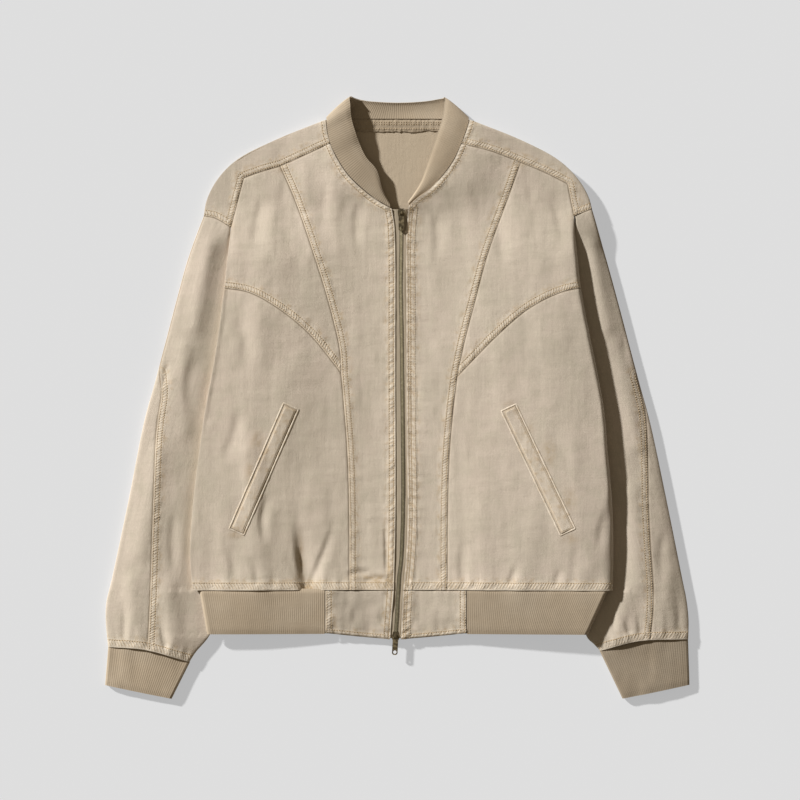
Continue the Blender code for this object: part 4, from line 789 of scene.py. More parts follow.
def seam_relief(along: Array, gap: Array, turns: Array, look: SeamLook) -> Array:
    """Height that a sewn edge adds to the cloth beside it.

    Args:
        along: Length along the seam.
        gap: Distance from the seam.
        turns: Puckers counted along it.
        look: Sizes of the seam.

    Returns:
        Height in millimetres.
    """
    ditch = -0.26 * bump(gap, 1.0) * (1 - look.folded)
    wide = PUCKER_DRAG.at(along, gap)
    reach = np.exp(-np.maximum(gap - look.band, 0) / 10.0) * ease(gap / 5)
    drag = (0.20 + 0.16 * look.folded) * wide * reach
    if look.band <= 0:
        return ditch + drag
    edge = np.maximum(ease(gap / 1.4), look.folded)
    raised = look.rise * edge * (1 - ease((gap - look.band + 0.6) / 2.2))
    held = sum(-0.16 * bump(gap - row, 0.9) for row in look.rows)
    small = PUCKER_NOISE.at(along + 0.7 * gap, gap)
    rope = 0.09 * np.sin(2 * np.pi * turns) if look.pitch > 7 else 0.0
    waves = look.pucker * (0.26 * small + rope)
    waves = waves * (1 - ease((gap - look.band) / 3.0)) * ease(gap / 2)
    return ditch + drag + raised + held + waves


# ------------------------------------------------------------------ grids and shells
# distances of the close rows and columns from an edge with stitches, and from one without
SEAM_STEPS = (0.0, 0.7, 1.5, 2.4, 3.8, 5.2, 6.4, 7.6, 8.8, 10.4, 12.4)
PLAIN_STEPS = (0.0, 0.8, 1.8, 3.4, 5.4)


def roll_steps(radius: float) -> tuple[float, ...]:
    """Distances of the columns in a roll, and two just past it."""
    turns = [radius * (1 - math.cos(math.pi / 2 * i / 9)) for i in range(10)]
    return (*turns, radius + 1.4, radius + 3.2)


SIDE_STEPS = (roll_steps(BODY_ROLL), PLAIN_STEPS, SEAM_STEPS, PLAIN_STEPS)


def stations(length: Array, near: Sequence[float], far: Sequence[float], step: float) -> Array:
    """Distances along lines: fixed ones near both ends and even ones between.

    Args:
        length: Lengths of the lines, n long.
        near: Distances from the start.
        far: Distances from the end.
        step: About how far apart the even ones lie.

    Returns:
        n rows of distances.
    """
    length = np.asarray(length, dtype=float)
    close, distant = np.array(near), np.array(far)[::-1]
    room = near[-1] + far[-1]
    scale = np.minimum(1.0, 0.8 * length / max(room, 1e-6))[:, None]
    start, end = close * scale, length[:, None] - distant * scale
    count = max(int(round(float(length.max() - room) / step)), 3)
    share = np.linspace(0, 1, count + 1)[1:-1]
    middle = start[:, -1:] + (end[:, :1] - start[:, -1:]) * share
    return np.concatenate([start, middle, end], axis=1)


def coons(bottom: PlanCurve, top: PlanCurve, left: PlanCurve, right: PlanCurve,
          u: Array, v: Array) -> Array:
    """Points of the patch between four plan lines, at arrays of shares."""
    a, b = u[..., None], v[..., None]
    ruled = (1 - b) * bottom.at(u) + b * top.at(u) + (1 - a) * left.at(v) + a * right.at(v)
    ends = [curve.at(np.array(share)) for curve in (bottom, top) for share in (0.0, 1.0)]
    corners = ((1 - a) * (1 - b) * ends[0] + a * (1 - b) * ends[1]
               + (1 - a) * b * ends[2] + a * b * ends[3])
    return ruled - corners


class Patch:
    """Plan patch between four lines, with close columns beside its edges."""

    def __init__(self, bottom: PlanCurve, top: PlanCurve, left: PlanCurve,
                 right: PlanCurve) -> None:
        """Keep the four lines; bottom and top run from left to right."""
        self.lines = (bottom, top, left, right)

    def plan(self, u_near: Sequence[float], u_far: Sequence[float], v_near: Sequence[float],
             v_far: Sequence[float], step: float) -> Array:
        """Plan grid of the patch.

        Args:
            u_near: Distances of the first columns from the left line.
            u_far: Distances of the last columns from the right line.
            v_near: Distances of the first rows from the bottom line.
            v_far: Distances of the last rows from the top line.
            step: Spacing of the rest.

        Returns:
            Rows by columns by 2.
        """
        bottom, top, left, right = self.lines
        length = 0.5 * (left.size + right.size)
        v_even = stations(np.array([length]), v_near, v_far, step)[0] / length
        width = np.linalg.norm(right.at(v_even) - left.at(v_even), axis=-1).clip(6.0)
        u = stations(width, u_near, u_far, step) / width[:, None]
        share = u.mean(axis=0)
        lengths = (1 - share) * left.size + share * right.size
        v = (stations(lengths, v_near, v_far, step) / lengths[:, None]).T
        if v.shape[0] != len(v_even):
            v = np.repeat(v_even[:, None], len(share), axis=1)
        return coons(bottom, top, left, right, u, v)


def trimmed(grid: Array, sides: str = "btlr") -> Array:
    """Stop a grid short of its seams on the given sides: b, t, l or r."""
    result = grid.copy()
    for side, edge, inner in (("b", np.s_[0], np.s_[1]), ("t", np.s_[-1], np.s_[-2]),
                              ("l", np.s_[:, 0], np.s_[:, 1]), ("r", np.s_[:, -1], np.s_[:, -2])):
        if side in sides:
            step = grid[inner] - grid[edge]
            length = np.linalg.norm(step, axis=-1, keepdims=True).clip(1e-6)
            result[edge] += step * np.minimum(SEAM_GAP / length, 0.8)
    return result


def roll_sine(distance: Array, radius: float) -> Array:
    """Sine of the roll at a plan distance from a folded edge."""
    part = 1 - np.clip(distance, 0.0, radius) / radius
    return np.sqrt(np.maximum(1 - part * part, 0.0))


def rolled(top: Array, bottom: Array, sine: Array, upper: bool,
           share: Array | float = 0.5) -> Array:
    """Height beside a folded edge, where the cloth turns from one face to the other."""
    middle = bottom + (top - bottom) * share
    gap = SEAM_GAP
    if upper:
        return middle + gap + (top - middle - gap) * sine
    return middle - gap - (middle - bottom - gap) * sine


def grid_normals(grid: Array, closed: bool) -> Array:
    """Unit normals of a grid, facing the way its columns and rows turn."""
    across = np.gradient(grid, axis=1)
    if closed:
        across = (np.roll(grid, -1, axis=1) - np.roll(grid, 1, axis=1)) / 2
    normals = np.cross(across, np.gradient(grid, axis=0))
    return normals / np.linalg.norm(normals, axis=-1, keepdims=True).clip(1e-9)


class Shell:
    """A cloth wall with thickness, made from a grid of points on its outer face."""

    def __init__(self, name: str, grid: Array, wall: float, outward: int,
                 closed: bool = False, even: bool = False) -> None:
        """Keep the grid; outward is 1 where its turn gives the outer side, else -1.

        Args:
            name: The object's name.
            grid: Rows by columns by 3, in millimetres.
            wall: Thickness behind the outer face.
            outward: 1 or -1.
            closed: Whether the last column joins the first.
            even: Whether the wall goes straight down instead of square to the face.
        """
        self.name = name
        self.grid = grid
        self.closed = closed
        self.outward = outward
        normals = grid_normals(grid, closed) * outward
        if even:
            normals = np.zeros_like(grid)
            normals[..., 2] = 1.0
        self.inner = grid - normals * wall
        self.data: dict[str, Array] = {}
        self.unfaded: float | Array = 0.0    # how much darker the piece is drawn: mostly painted shade, for a few pieces their own darker tone

    def attribute(self, name: str, values: Array) -> "Shell":
        """Store values per grid point, for the material and the nodes."""
        self.data[name] = values
        return self

    def laid(self, across: Array, along: Array) -> "Shell":
        """Store the cloth's own coordinates: across it and down its length."""
        across, along = np.broadcast_arrays(across, along)
        return self.attribute("lay", np.stack([across, along, 0 * across], axis=-1) * MM)

    def sewn(self, data: dict[str, Array]) -> "Shell":
        """Store what the canvas needs to know of its seams."""
        for name in ("seam", "rows", "pucker"):
            self.attribute(name, data[name])
        return self

    def build(self, material: bpy.types.Material) -> bpy.types.Object:
        """Make the object, shaded smooth, with its attributes and material."""
        n_rows, n_cols = self.grid.shape[:2]
        count = n_rows * n_cols
        i, j = np.meshgrid(np.arange(n_rows - 1), np.arange(n_cols if self.closed else n_cols - 1),
                           indexing="ij")
        k = (j + 1) % n_cols
        quad = np.stack([i * n_cols + j, i * n_cols + k, (i + 1) * n_cols + k,
                         (i + 1) * n_cols + j], axis=-1).reshape(-1, 4)
        outer = quad if self.outward > 0 else quad[:, ::-1]
        faces = [outer, outer[:, ::-1] + count]
        rim = [np.arange(n_cols), (n_rows - 1) * n_cols + np.arange(n_cols)[::-1]]
        if self.closed:
            rim = [np.append(rim[0], 0), np.append(rim[1], rim[1][0])]
        else:
            side = np.arange(n_rows) * n_cols
            rim += [side[::-1], side + n_cols - 1]
        for line in rim:
            a, b = line[:-1], line[1:]
            strip = np.stack([b, a, a + count, b + count], axis=-1)
            faces.append(strip if self.outward > 0 else strip[:, ::-1])
        verts = np.concatenate([self.grid.reshape(-1, 3), self.inner.reshape(-1, 3)]) * MM
        mesh = mesh_from(self.name, verts, np.concatenate(faces))
        self.attribute("unfaded", self.unfaded + np.zeros((n_rows, n_cols)))
        for name, values in self.data.items():
            store(mesh, name, np.tile(values.reshape(count, -1), (2, 1)))
        store(mesh, "inside", np.repeat([[0.0], [1.0]], count, axis=0))
        return make_object(self.name, mesh, material)

    def area(self) -> float:
        """Area of the outer face, in square millimetres."""
        grid = np.concatenate([self.grid, self.grid[:, :1]], axis=1) if self.closed else self.grid
        across = np.cross(grid[1:, 1:] - grid[:-1, :-1], grid[:-1, 1:] - grid[1:, :-1])
        return float(np.linalg.norm(across, axis=-1).sum() / 2)

    def surface(self) -> BVHTree:
        """Search tree of the outer face, in millimetres."""
        n_cols = self.grid.shape[1]
        i, j = np.meshgrid(np.arange(self.grid.shape[0] - 1), np.arange(n_cols - 1), indexing="ij")
        a = (i * n_cols + j).ravel()
        faces = np.stack([a, a + 1, a + n_cols + 1, a + n_cols], axis=-1)
        return BVHTree.FromPolygons(self.grid.reshape(-1, 3).tolist(), faces.tolist())


def mesh_from(name: str, verts: Array, faces: Array) -> bpy.types.Mesh:
    """A mesh from arrays of points, in metres, and quads."""
    mesh = bpy.data.meshes.new(name)
    mesh.vertices.add(len(verts))
    mesh.vertices.foreach_set("co", verts.astype(np.float32).ravel())
    mesh.loops.add(faces.size)
    mesh.loops.foreach_set("vertex_index", faces.astype(np.int32).ravel())
    mesh.polygons.add(len(faces))
    mesh.polygons.foreach_set("loop_start", np.arange(0, faces.size, 4, dtype=np.int32))
    mesh.update(calc_edges=True)
    mesh.validate()
    return mesh


def store(mesh: bpy.types.Mesh, name: str, values: Array) -> None:
    """Give each point of a mesh a number or a vector, for the material and the nodes."""
    kind, key = ("FLOAT", "value") if values.shape[1] == 1 else ("FLOAT_VECTOR", "vector")
    layer = mesh.attributes.new(name, kind, "POINT")
    layer.data.foreach_set(key, values.astype(np.float32).ravel())


def linked(name: str, data: bpy.types.ID) -> bpy.types.Object:
    """A new object in the scene."""
    piece = bpy.data.objects.new(name, data)
    bpy.context.scene.collection.objects.link(piece)
    return piece


def line_object(name: str, lines: Sequence[Array]) -> bpy.types.Object:
    """An object of edges alone, along lines in millimetres."""
    edges, start = [], 0
    for line in lines:
        edges += [(start + i, start + i + 1) for i in range(len(line) - 1)]
        start += len(line)
    mesh = bpy.data.meshes.new(name)
    mesh.from_pydata((np.concatenate(lines) * MM).tolist(), edges, [])
    return linked(name, mesh)


def dropped(surface: BVHTree, x: float, y: float) -> float | None:
    """Height of a surface at a plan point, or None beside it."""
    hit = surface.ray_cast(Vector((x, y, ABOVE)), Vector((0.0, 0.0, -1.0)))[0]
    return hit.z if hit else None


def make_object(name: str, mesh: bpy.types.Mesh,
                material: bpy.types.Material) -> bpy.types.Object:
    """Link a mesh as an object, shaded smooth but for its sharp rims."""
    mesh.materials.append(material)
    mesh.shade_smooth()
    mesh.set_sharp_from_angle(angle=math.radians(60))
    return linked(name, mesh)


# ------------------------------------------------------------------ node trees
Value = Union[float, "Wire"]


class Wire:
    """A node's output that takes part in Python sums."""

    def __init__(self, book: "NodeBook", socket: bpy.types.NodeSocket) -> None:
        """Keep the socket and the tree it belongs to."""
        self.book = book
        self.socket = socket

    def _math(self, operation: str, *values: Value, clamp: bool = False) -> "Wire":
        """A Math node on this and other values."""
        return self.book.add("ShaderNodeMath", {"operation": operation, "use_clamp": clamp},
                             dict(enumerate(values)))

    def __add__(self, other: Value) -> "Wire":
        """Sum."""
        return self._math("ADD", self, other)

    __radd__ = __add__

    def __sub__(self, other: Value) -> "Wire":
        """Difference."""
        return self._math("SUBTRACT", self, other)

    def __rsub__(self, other: Value) -> "Wire":
        """Difference the other way round."""
        return self._math("SUBTRACT", other, self)

    def __mul__(self, other: Value) -> "Wire":
        """Product."""
        return self._math("MULTIPLY", self, other)

    __rmul__ = __mul__

    def __truediv__(self, other: Value) -> "Wire":
        """Quotient."""
        return self._math("DIVIDE", self, other)

    def sine(self) -> "Wire":
        """Sine."""
        return self._math("SINE", self)

    def clamped(self) -> "Wire":
        """Held between 0 and 1."""
        return self._math("ADD", self, 0.0, clamp=True)

    def bell(self, centre: Value, width: Value) -> "Wire":
        """Soft bell, 1 at the centre."""
        share = (self - centre) / width
        return self._math("EXPONENT", share * share * -1.0)

    def step(self, low: Value, high: Value) -> "Wire":
        """Smooth step from 0 at low to 1 at high."""
        return self.book.add("ShaderNodeMapRange", {"interpolation_type": "SMOOTHSTEP"},
                             {"Value": self, "From Min": low, "From Max": high})


class NodeBook:
    """A node tree, written node by node."""

    tree: bpy.types.NodeTree

    def add(self, kind: str, settings: dict | None = None, inputs: dict | None = None,
            output: int | str = 0) -> Wire:
        """Any node.

        Args:
            kind: The node's type.
            settings: Properties, set first.
            inputs: Values or wires, by the socket's name or number.
            output: Which output the wire is.

        Returns:
            A wire from that output.
        """
        node = self.tree.nodes.new(kind)
        for name, value in (settings or {}).items():
            setattr(node, name, value)
        for name, value in (inputs or {}).items():
            socket = node.inputs[name]
            if isinstance(value, Wire):
                self.tree.links.new(value.socket, socket)
            else:
                socket.default_value = value
        return Wire(self, node.outputs[output])

    def joined(self, x: Value, y: Value = 0.0, z: Value = 0.0) -> Wire:
        """A vector from three numbers."""
        return self.add("ShaderNodeCombineXYZ", {}, {0: x, 1: y, 2: z})


class ShaderBook(NodeBook):
    """A material's node tree."""

    def __init__(self, name: str) -> None:
        """Make the material with an empty tree."""
        self.material = bpy.data.materials.new(name)
        self.material.use_nodes = True
        self.tree = self.material.node_tree
        self.tree.nodes.clear()

    def vector(self, name: str) -> Wire:
        """A vector attribute of the piece."""
        return self.add("ShaderNodeAttribute", {"attribute_name": name}, output="Vector")

    def number(self, name: str) -> Wire:
        """A number attribute of the piece."""
        return self.add("ShaderNodeAttribute", {"attribute_name": name}, output="Fac")

    def parts(self, vector: Wire) -> tuple[Wire, Wire, Wire]:
        """The three numbers of a vector."""
        node = self.add("ShaderNodeSeparateXYZ", {}, {0: vector}).socket.node
        return tuple(Wire(self, socket) for socket in node.outputs)

    def place(self, scale: tuple[float, float, float]) -> Wire:
        """Object coordinates, scaled."""
        coordinates = self.add("ShaderNodeTexCoord", output="Object")
        return self.add("ShaderNodeMapping", {}, {"Vector": coordinates, "Scale": scale})

    def noise(self, vector: Wire, scale: float, detail: float = 3.0, rough: float = 0.5) -> Wire:
        """Noise from 0 to 1."""
        return self.add("ShaderNodeTexNoise", {}, {"Vector": vector, "Scale": scale,
                                                   "Detail": detail, "Roughness": rough})

    def drawn(self, vector: Wire, scale: tuple[float, float, float], detail: float = 3.0,
              rough: float = 0.6) -> Wire:
        """Noise drawn out unevenly: its scale for each direction."""
        mapped = self.add("ShaderNodeMapping", {}, {"Vector": vector, "Scale": scale})
        return self.noise(mapped, 1.0, detail, rough)

    def mix(self, share: Value, low: Wire | tuple, high: Wire | tuple) -> Wire:
        """Mix of two colours."""
        def colour(value: Wire | tuple) -> Wire | tuple:
            return value if isinstance(value, Wire) else (*value, 1.0)
        return self.add("ShaderNodeMix", {"data_type": "RGBA"},
                        {0: share, 6: colour(low), 7: colour(high)}, output=2)

    def shaded(self, colour: Wire | tuple, amount: Value) -> Wire:
        """A colour made lighter or darker by a number."""
        grey = self.joined(amount, amount, amount)
        base = colour if isinstance(colour, Wire) else self.mix(0.0, colour, colour)
        return self.add("ShaderNodeVectorMath", {"operation": "MULTIPLY"}, {0: base, 1: grey})

    def finish(self, colour: Wire | tuple, roughness: Value, bumps: Sequence[tuple[Wire, float]],
               constants: dict) -> bpy.types.Material:
        """Principled surface with its bumps.

        Args:
            colour: Base colour.
            roughness: Roughness.
            bumps: Heights in millimetres with the strength of each.
            constants: Other sockets and their fixed values.

        Returns:
            The material.
        """
        normal = {}
        for height, strength in bumps:
            bump_node = self.add("ShaderNodeBump", {}, {"Height": height, "Strength": strength,
                                                        "Distance": MM, **normal})
            normal = {"Normal": bump_node}
        base = colour if isinstance(colour, Wire) else (*colour, 1.0)
        surface = self.add("ShaderNodeBsdfPrincipled", {}, {"Base Color": base,
                                                            "Roughness": roughness,
                                                            **constants, **normal})
        end = self.tree.nodes.new("ShaderNodeOutputMaterial")
        self.tree.links.new(surface.socket, end.inputs["Surface"])
        return self.material


# ------------------------------------------------------------------ finishes
Colour = tuple[float, float, float]


@dataclass(frozen=True)
class CanvasFinish:
    """Washed, sun-faded cotton canvas, paler and grubbier along its seams, with painted shade in
    their ditches and folds and painted highlight on their edges.

    Attributes:
        name: The material's name.
        cloth: Main colour.
        warm: Colour of warmer, pinker places.
        cool: Colour of greener, dustier places.
        pale: Colour of the cloth rubbed pale on the seams, and of the painted highlight on their
            lit edges.
        stain: Colour of the rusty marks along the stitches.
        mark: Colour of the rusty marks away from the stitches, and of the painted shade in folds.
        ditch_dirt_and_shade: Colour in the seam's ditch: soiling, with painted shade.
        inner: Colour of the inside, which has not faded.
        thread_pitch: Distance between the weave's threads, in millimetres.
    """

    name: str = "washed_canvas"
    cloth: Colour = (0.558, 0.483, 0.386)
    warm: Colour = (0.583, 0.495, 0.403)
    cool: Colour = (0.502, 0.443, 0.344)
    pale: Colour = (0.690, 0.608, 0.492)
    stain: Colour = (0.420, 0.290, 0.150)
    mark: Colour = (0.400, 0.292, 0.170)
    ditch_dirt_and_shade: Colour = (0.235, 0.160, 0.085)
    inner: Colour = (0.455, 0.372, 0.268)
    thread_pitch: float = 0.62

    def material(self) -> bpy.types.Material:
        """Build the material; it reads the values that the shells store."""
        book = ShaderBook(self.name)
        place = book.place((1.0, 1.0, 1.0))
        lay = book.vector("lay")
        across, along, _ = book.parts(lay)
        turns, gap, band = book.parts(book.vector("seam"))
        first, second, folded = book.parts(book.vector("rows"))
        pucker = book.number("pucker")
        cloudy = book.noise(place, 11.0, 4.0, 0.55)
        blotch = book.noise(place, 52.0, 4.0, 0.6)
        patchy = book.noise(place, 150.0, 3.0, 0.6)
        speck = book.noise(place, 620.0, 2.0, 0.6)
        slub = book.drawn(lay, (420.0, 46.0, 1.0))
        fade = book.drawn(lay, (62.0, 7.0, 1.0), 3.0, 0.55)
        weft = book.drawn(lay, (48.0, 820.0, 1.0), 2.0)
        # cloth that washed unevenly
        colour = book.mix(cloudy.step(0.36, 0.66), self.cloth, self.warm)
        colour = book.mix(blotch.step(0.40, 0.74) * 0.62, colour, self.cool)
        # rubbed pale on the doubled cloth of a seam, and streaky beside it
        sewn = band.step(1.0, 2.0)
        in_band = (1.0 - gap.step(band - 0.4, band + 1.4)) * sewn
        beside = (1.0 - gap.step(band, band + 13.0)) * gap.step(0.0, 1.0)
        rub = in_band * (0.25 + patchy * 0.8) + beside * slub.step(0.35, 0.7) * 0.42
        colour = book.mix(rub.clamped() * 0.66, colour, self.pale)
        # puckers between the rows: stained hollows and pale ridges
        rung = (turns * (2 * math.pi)).sine() * 0.5 + 0.5
        inside = gap.step(0.9, 2.4) * (1.0 - gap.step(band - 2.2, band + 0.2)) * in_band
        mask = inside * pucker * patchy.step(0.30, 0.58)
        colour = book.mix((1.0 - rung) * mask * 0.50, colour, self.stain)
        colour = book.mix(rung * mask * 0.30, colour, self.pale)
        # painted highlight along the lit edge of a seam
        lit_edge = gap.bell(1.4, 0.9) * sewn * (1.0 - folded * 0.75)
        colour = book.mix(lit_edge * (0.25 + patchy * 0.4), colour, self.pale)
        drag = (1.0 - gap.step(band + 0.5, band + 9.0)) * gap.step(band - 0.5, band + 0.8)
        colour = book.mix(drag * sewn * patchy.step(0.44, 0.7) * 0.5, colour, self.stain)
        # broken lines of stain along the stitches, and soiling with painted shade in the ditch
        line = gap.bell(first, 0.62) + gap.bell(second, 0.62)
        dashes = 0.35 + rung * 0.35 + patchy * 0.5
        colour = book.mix((line * dashes * (0.60 + folded * 0.25)).clamped(), colour, self.stain)
        ditch = (1.0 - gap.step(0.4, 1.3)) * (1.0 - folded * 0.75)
        colour = book.mix(ditch * (0.4 + patchy * 0.6) * 0.80, colour, self.ditch_dirt_and_shade)
        # rusty marks and painted shade in folds away from the seams, and the inside, which has not
        # faded
        marks_and_shade = book.number("marked")
        marks_and_shade = marks_and_shade * (0.25 + patchy.step(0.34, 0.66) * 0.75) * (0.55 + speck * 0.7)
        colour = book.mix(marks_and_shade.clamped() * 0.80, colour, self.mark)
        colour = book.mix(book.number("inside") * 0.92, colour, self.inner)
        # tone and relief of the weave
        tone = 0.745 + cloudy * 0.06 + speck * 0.13 + slub * 0.13 + patchy * 0.05
        tone = tone + (fade - 0.5) * 0.16 + weft * 0.12
        # each piece drawn darker by its painted shade and own tone
        colour = book.shaded(colour, tone - book.number("unfaded"))
        pitch = 2 * math.pi / (self.thread_pitch * MM)
        weave = (across * pitch).sine() * (along * pitch).sine()
        fuzz = book.noise(place, 1400.0, 3.0, 0.7)
        fine = weave * 0.04 + fuzz * 0.12 + slub * 0.18 + speck * 0.16 + weft * 0.16
        broad = rung * mask * 0.24 + blotch * 0.16 + patchy * 0.22 + fade * 0.36 - line * 0.2
        return book.finish(colour, 0.86 + speck * 0.08, [(broad, 0.9), (fine, 0.6)],
                           {"Sheen Weight": 0.10, "Sheen Roughness": 0.55,
                            "Specular IOR Level": 0.22})


@dataclass(frozen=True)
class RibFinish:
    """Cotton rib knit, a shade darker and browner than the canvas."""

    name: str = "rib_knit"
    yarn: Colour = (0.392, 0.312, 0.218)
    # colour of the painted shade between the wales
    shade: Colour = (0.325, 0.252, 0.168)
    dusty: Colour = (0.430, 0.352, 0.256)
    loop_pitch: float = 1.7

    def material(self) -> bpy.types.Material:
        """Build the material; its wales follow the lay attribute."""
        book = ShaderBook(self.name)
        place = book.place((1.0, 1.0, 1.0))
        across, along, _ = book.parts(book.vector("lay"))
        cloudy = book.noise(place, 16.0, 4.0, 0.55)
        speck = book.noise(place, 520.0, 2.0, 0.6)
        patch = book.noise(place, 95.0, 3.0, 0.6)
        wale = (across * (2 * math.pi / (RIB_PITCH * MM))).sine() * 0.5 + 0.5
        loops = (along * (2 * math.pi / (self.loop_pitch * MM))).sine() * 0.5 + 0.5
        colour = book.mix(cloudy.step(0.35, 0.7), self.yarn, self.dusty)
        # painted shade in the grooves between the wales
        colour = book.mix((1.0 - wale) * 0.09, colour, self.shade)
        tone = 0.83 + speck * 0.1 + loops * 0.03 + patch * 0.15
        # each piece drawn darker by its painted shade and own tone
        colour = book.shaded(colour, tone - book.number("unfaded"))
        height = wale * 0.07 + loops * wale * 0.08 + speck * 0.22
        return book.finish(colour, 0.90, [(height, 0.6)],
                           {"Sheen Weight": 0.15, "Sheen Roughness": 0.6,
                            "Specular IOR Level": 0.2})


@dataclass(frozen=True)
class TapeFinish:
    """Woven zip tape in olive."""

    name: str = "zip_tape_weave"
    warp: Colour = (0.395, 0.332, 0.245)
    weft: Colour = (0.320, 0.266, 0.190)

    def material(self) -> bpy.types.Material:
        """Build the material with a herringbone."""
        book = ShaderBook(self.name)
        across, along, _ = book.parts(book.place((1000.0, 1000.0, 1000.0)))
        turn = (across * 2.6).sine() * 0.8
        rib = ((along * 5.2) + turn).sine() * 0.5 + 0.5
        soft = book.noise(book.place((1.0, 1.0, 1.0)), 60.0)
        colour = book.mix(rib * 0.6 + soft * 0.3, self.warp, self.weft)
        return book.finish(colour, 0.85, [(rib * 0.15, 0.6)], {"Specular IOR Level": 0.3})


@dataclass(frozen=True)
class ThreadFinish:
    """Cotton sewing thread, a shade browner than the cloth."""

    name: str = "sewing_thread"
    colour: Colour = (0.550, 0.440, 0.300)
    dark: Colour = (0.440, 0.330, 0.200)

    def material(self) -> bpy.types.Material:
        """Build the material with a faint twist."""
        book = ShaderBook(self.name)
        place = book.place((1.0, 1.0, 1.0))
        patch = book.noise(place, 130.0)
        colour = book.mix(patch.step(0.35, 0.65), self.colour, self.dark)
        return book.finish(colour, 0.8, [(book.noise(place, 2600.0), 0.3)],
                           {"Specular IOR Level": 0.3})


@dataclass(frozen=True)
class BrassFinish:
    """Antique brass: dark in the recesses, rubbed lighter here and there.

    Attributes:
        name: The material's name.
        dark: Colour of the recesses.
        rubbed: Colour where it is worn.
        metallic: How metallic it is; less where it is dull.
        lower_end: How much darker it is towards the hem.
    """

    name: str = "antique_brass"
    dark: Colour = (0.150, 0.122, 0.078)
    rubbed: Colour = (0.400, 0.330, 0.205)
    metallic: float = 0.9
    lower_end: float = 0.0

    def material(self) -> bpy.types.Material:
        """Build the material."""
        book = ShaderBook(self.name)
        place = book.place((1.0, 1.0, 1.0))
        wear = book.noise(place, 260.0, 3.0, 0.6)
        scratch = book.noise(book.place((1.0, 0.15, 1.0)), 3000.0, 2.0)
        colour = book.mix(wear.step(0.45, 0.68), self.dark, self.rubbed)
        _, height, _ = book.parts(place)
        darker = (1.0 - height.step(-0.16, 0.13)) * self.lower_end
        colour = book.shaded(colour, 1.0 - darker)
        return book.finish(colour, 0.34 + wear * 0.2, [(scratch * 0.03, 0.4)],
                           {"Metallic": self.metallic})


@dataclass(frozen=True)
class FloorFinish:
    """Pale paper that glows a little, so that shadows on it stay light."""

    name: str = "studio_paper"
    paper: Colour = (0.33, 0.33, 0.33)
    glow: Colour = (0.402, 0.411, 0.425)

    def material(self) -> bpy.types.Material:
        """Build the material."""
        book = ShaderBook(self.name)
        return book.finish(self.paper, 1.0, [], {"Specular IOR Level": 0.0,
                                                 "Emission Color": (*self.glow, 1.0),
                                                 "Emission Strength": 1.0})


class Wardrobe:
    """The jacket's materials, each made once."""

    def __init__(self) -> None:
        """Build every finish."""
        self.canvas = CanvasFinish().material()
        self.rib = RibFinish().material()
        self.tape = TapeFinish().material()
        self.thread = ThreadFinish().material()
        self.brass = BrassFinish().material()
        self.chain = BrassFinish("worn_chain", dark=(0.375, 0.325, 0.208),
                                 rubbed=(0.510, 0.445, 0.300), metallic=0.35,
                                 lower_end=0.40).material()


# ------------------------------------------------------------------ node trees that repeat
class NodeForm(NodeBook):
    """A Geometry Nodes tree with named number inputs."""

    def __init__(self, name: str, inputs: dict[str, float]) -> None:
        """Make the tree.

        Args:
            name: The tree's name.
            inputs: Named numbers with their default values.
        """
        self.tree = bpy.data.node_groups.new(name, "GeometryNodeTree")
        face = self.tree.interface
        face.new_socket("Geometry", in_out="INPUT", socket_type="NodeSocketGeometry")
        self.ids = {}
        for key, value in inputs.items():
            socket = face.new_socket(key, in_out="INPUT", socket_type="NodeSocketFloat")
            socket.default_value = value
            self.ids[key] = socket.identifier
        face.new_socket("Geometry", in_out="OUTPUT", socket_type="NodeSocketGeometry")
        self.start = self.tree.nodes.new("NodeGroupInput")

    def given(self, name: str) -> Wire:
        """One of the tree's inputs."""
        return Wire(self, self.start.outputs[name])

    def along_edges(self, instance: Wire, axis: str, more: dict | None = None) -> Wire:
        """Copies of a mesh along the given edges, one for each pitch.

        Args:
            instance: What is copied.
            axis: Which of its axes follows the edges.
            more: Other inputs of the node that places them.

        Returns:
            The copies.
        """
        path = self.add("GeometryNodeMeshToCurve", {}, {"Mesh": self.given("Geometry")})
        spots = self.add("GeometryNodeResampleCurve", {"mode": "LENGTH"},
                         {"Curve": path, "Length": self.given("Pitch")})
        turn = self.add("FunctionNodeAlignRotationToVector", {"axis": axis},
                        {"Vector": self.add("GeometryNodeInputTangent")})
        return self.add("GeometryNodeInstanceOnPoints", {},
                        {"Points": spots, "Instance": instance, "Rotation": turn, **(more or {})})

    def close(self, geometry: Wire, material: bpy.types.Material) -> None:
        """Realize the instances, set the material and end the tree."""
        real = self.add("GeometryNodeRealizeInstances", {}, {0: geometry})
        dressed = self.add("GeometryNodeSetMaterial", {}, {"Geometry": real,
                                                           "Material": material})
        end = self.tree.nodes.new("NodeGroupOutput")
        self.tree.links.new(dressed.socket, end.inputs[0])

    def applied(self, piece: bpy.types.Object, **values: float) -> bpy.types.Object:
        """Run the tree on a piece and leave a plain mesh.

        Args:
            piece: The object; its mesh is replaced.
            values: Inputs that differ from their defaults.

        Returns:
            The same object, without modifiers.
        """
        modifier = piece.modifiers.new(self.tree.name, "NODES")
        modifier.node_group = self.tree
        for key, value in values.items():
            modifier[self.ids[key]] = value
        depsgraph = bpy.context.evaluated_depsgraph_get()
        depsgraph.update()
        mesh = bpy.data.meshes.new_from_object(piece.evaluated_get(depsgraph))
        mesh.name = piece.name
        old = piece.data
        piece.modifiers.clear()
        piece.data = mesh
        bpy.data.meshes.remove(old)
        return piece


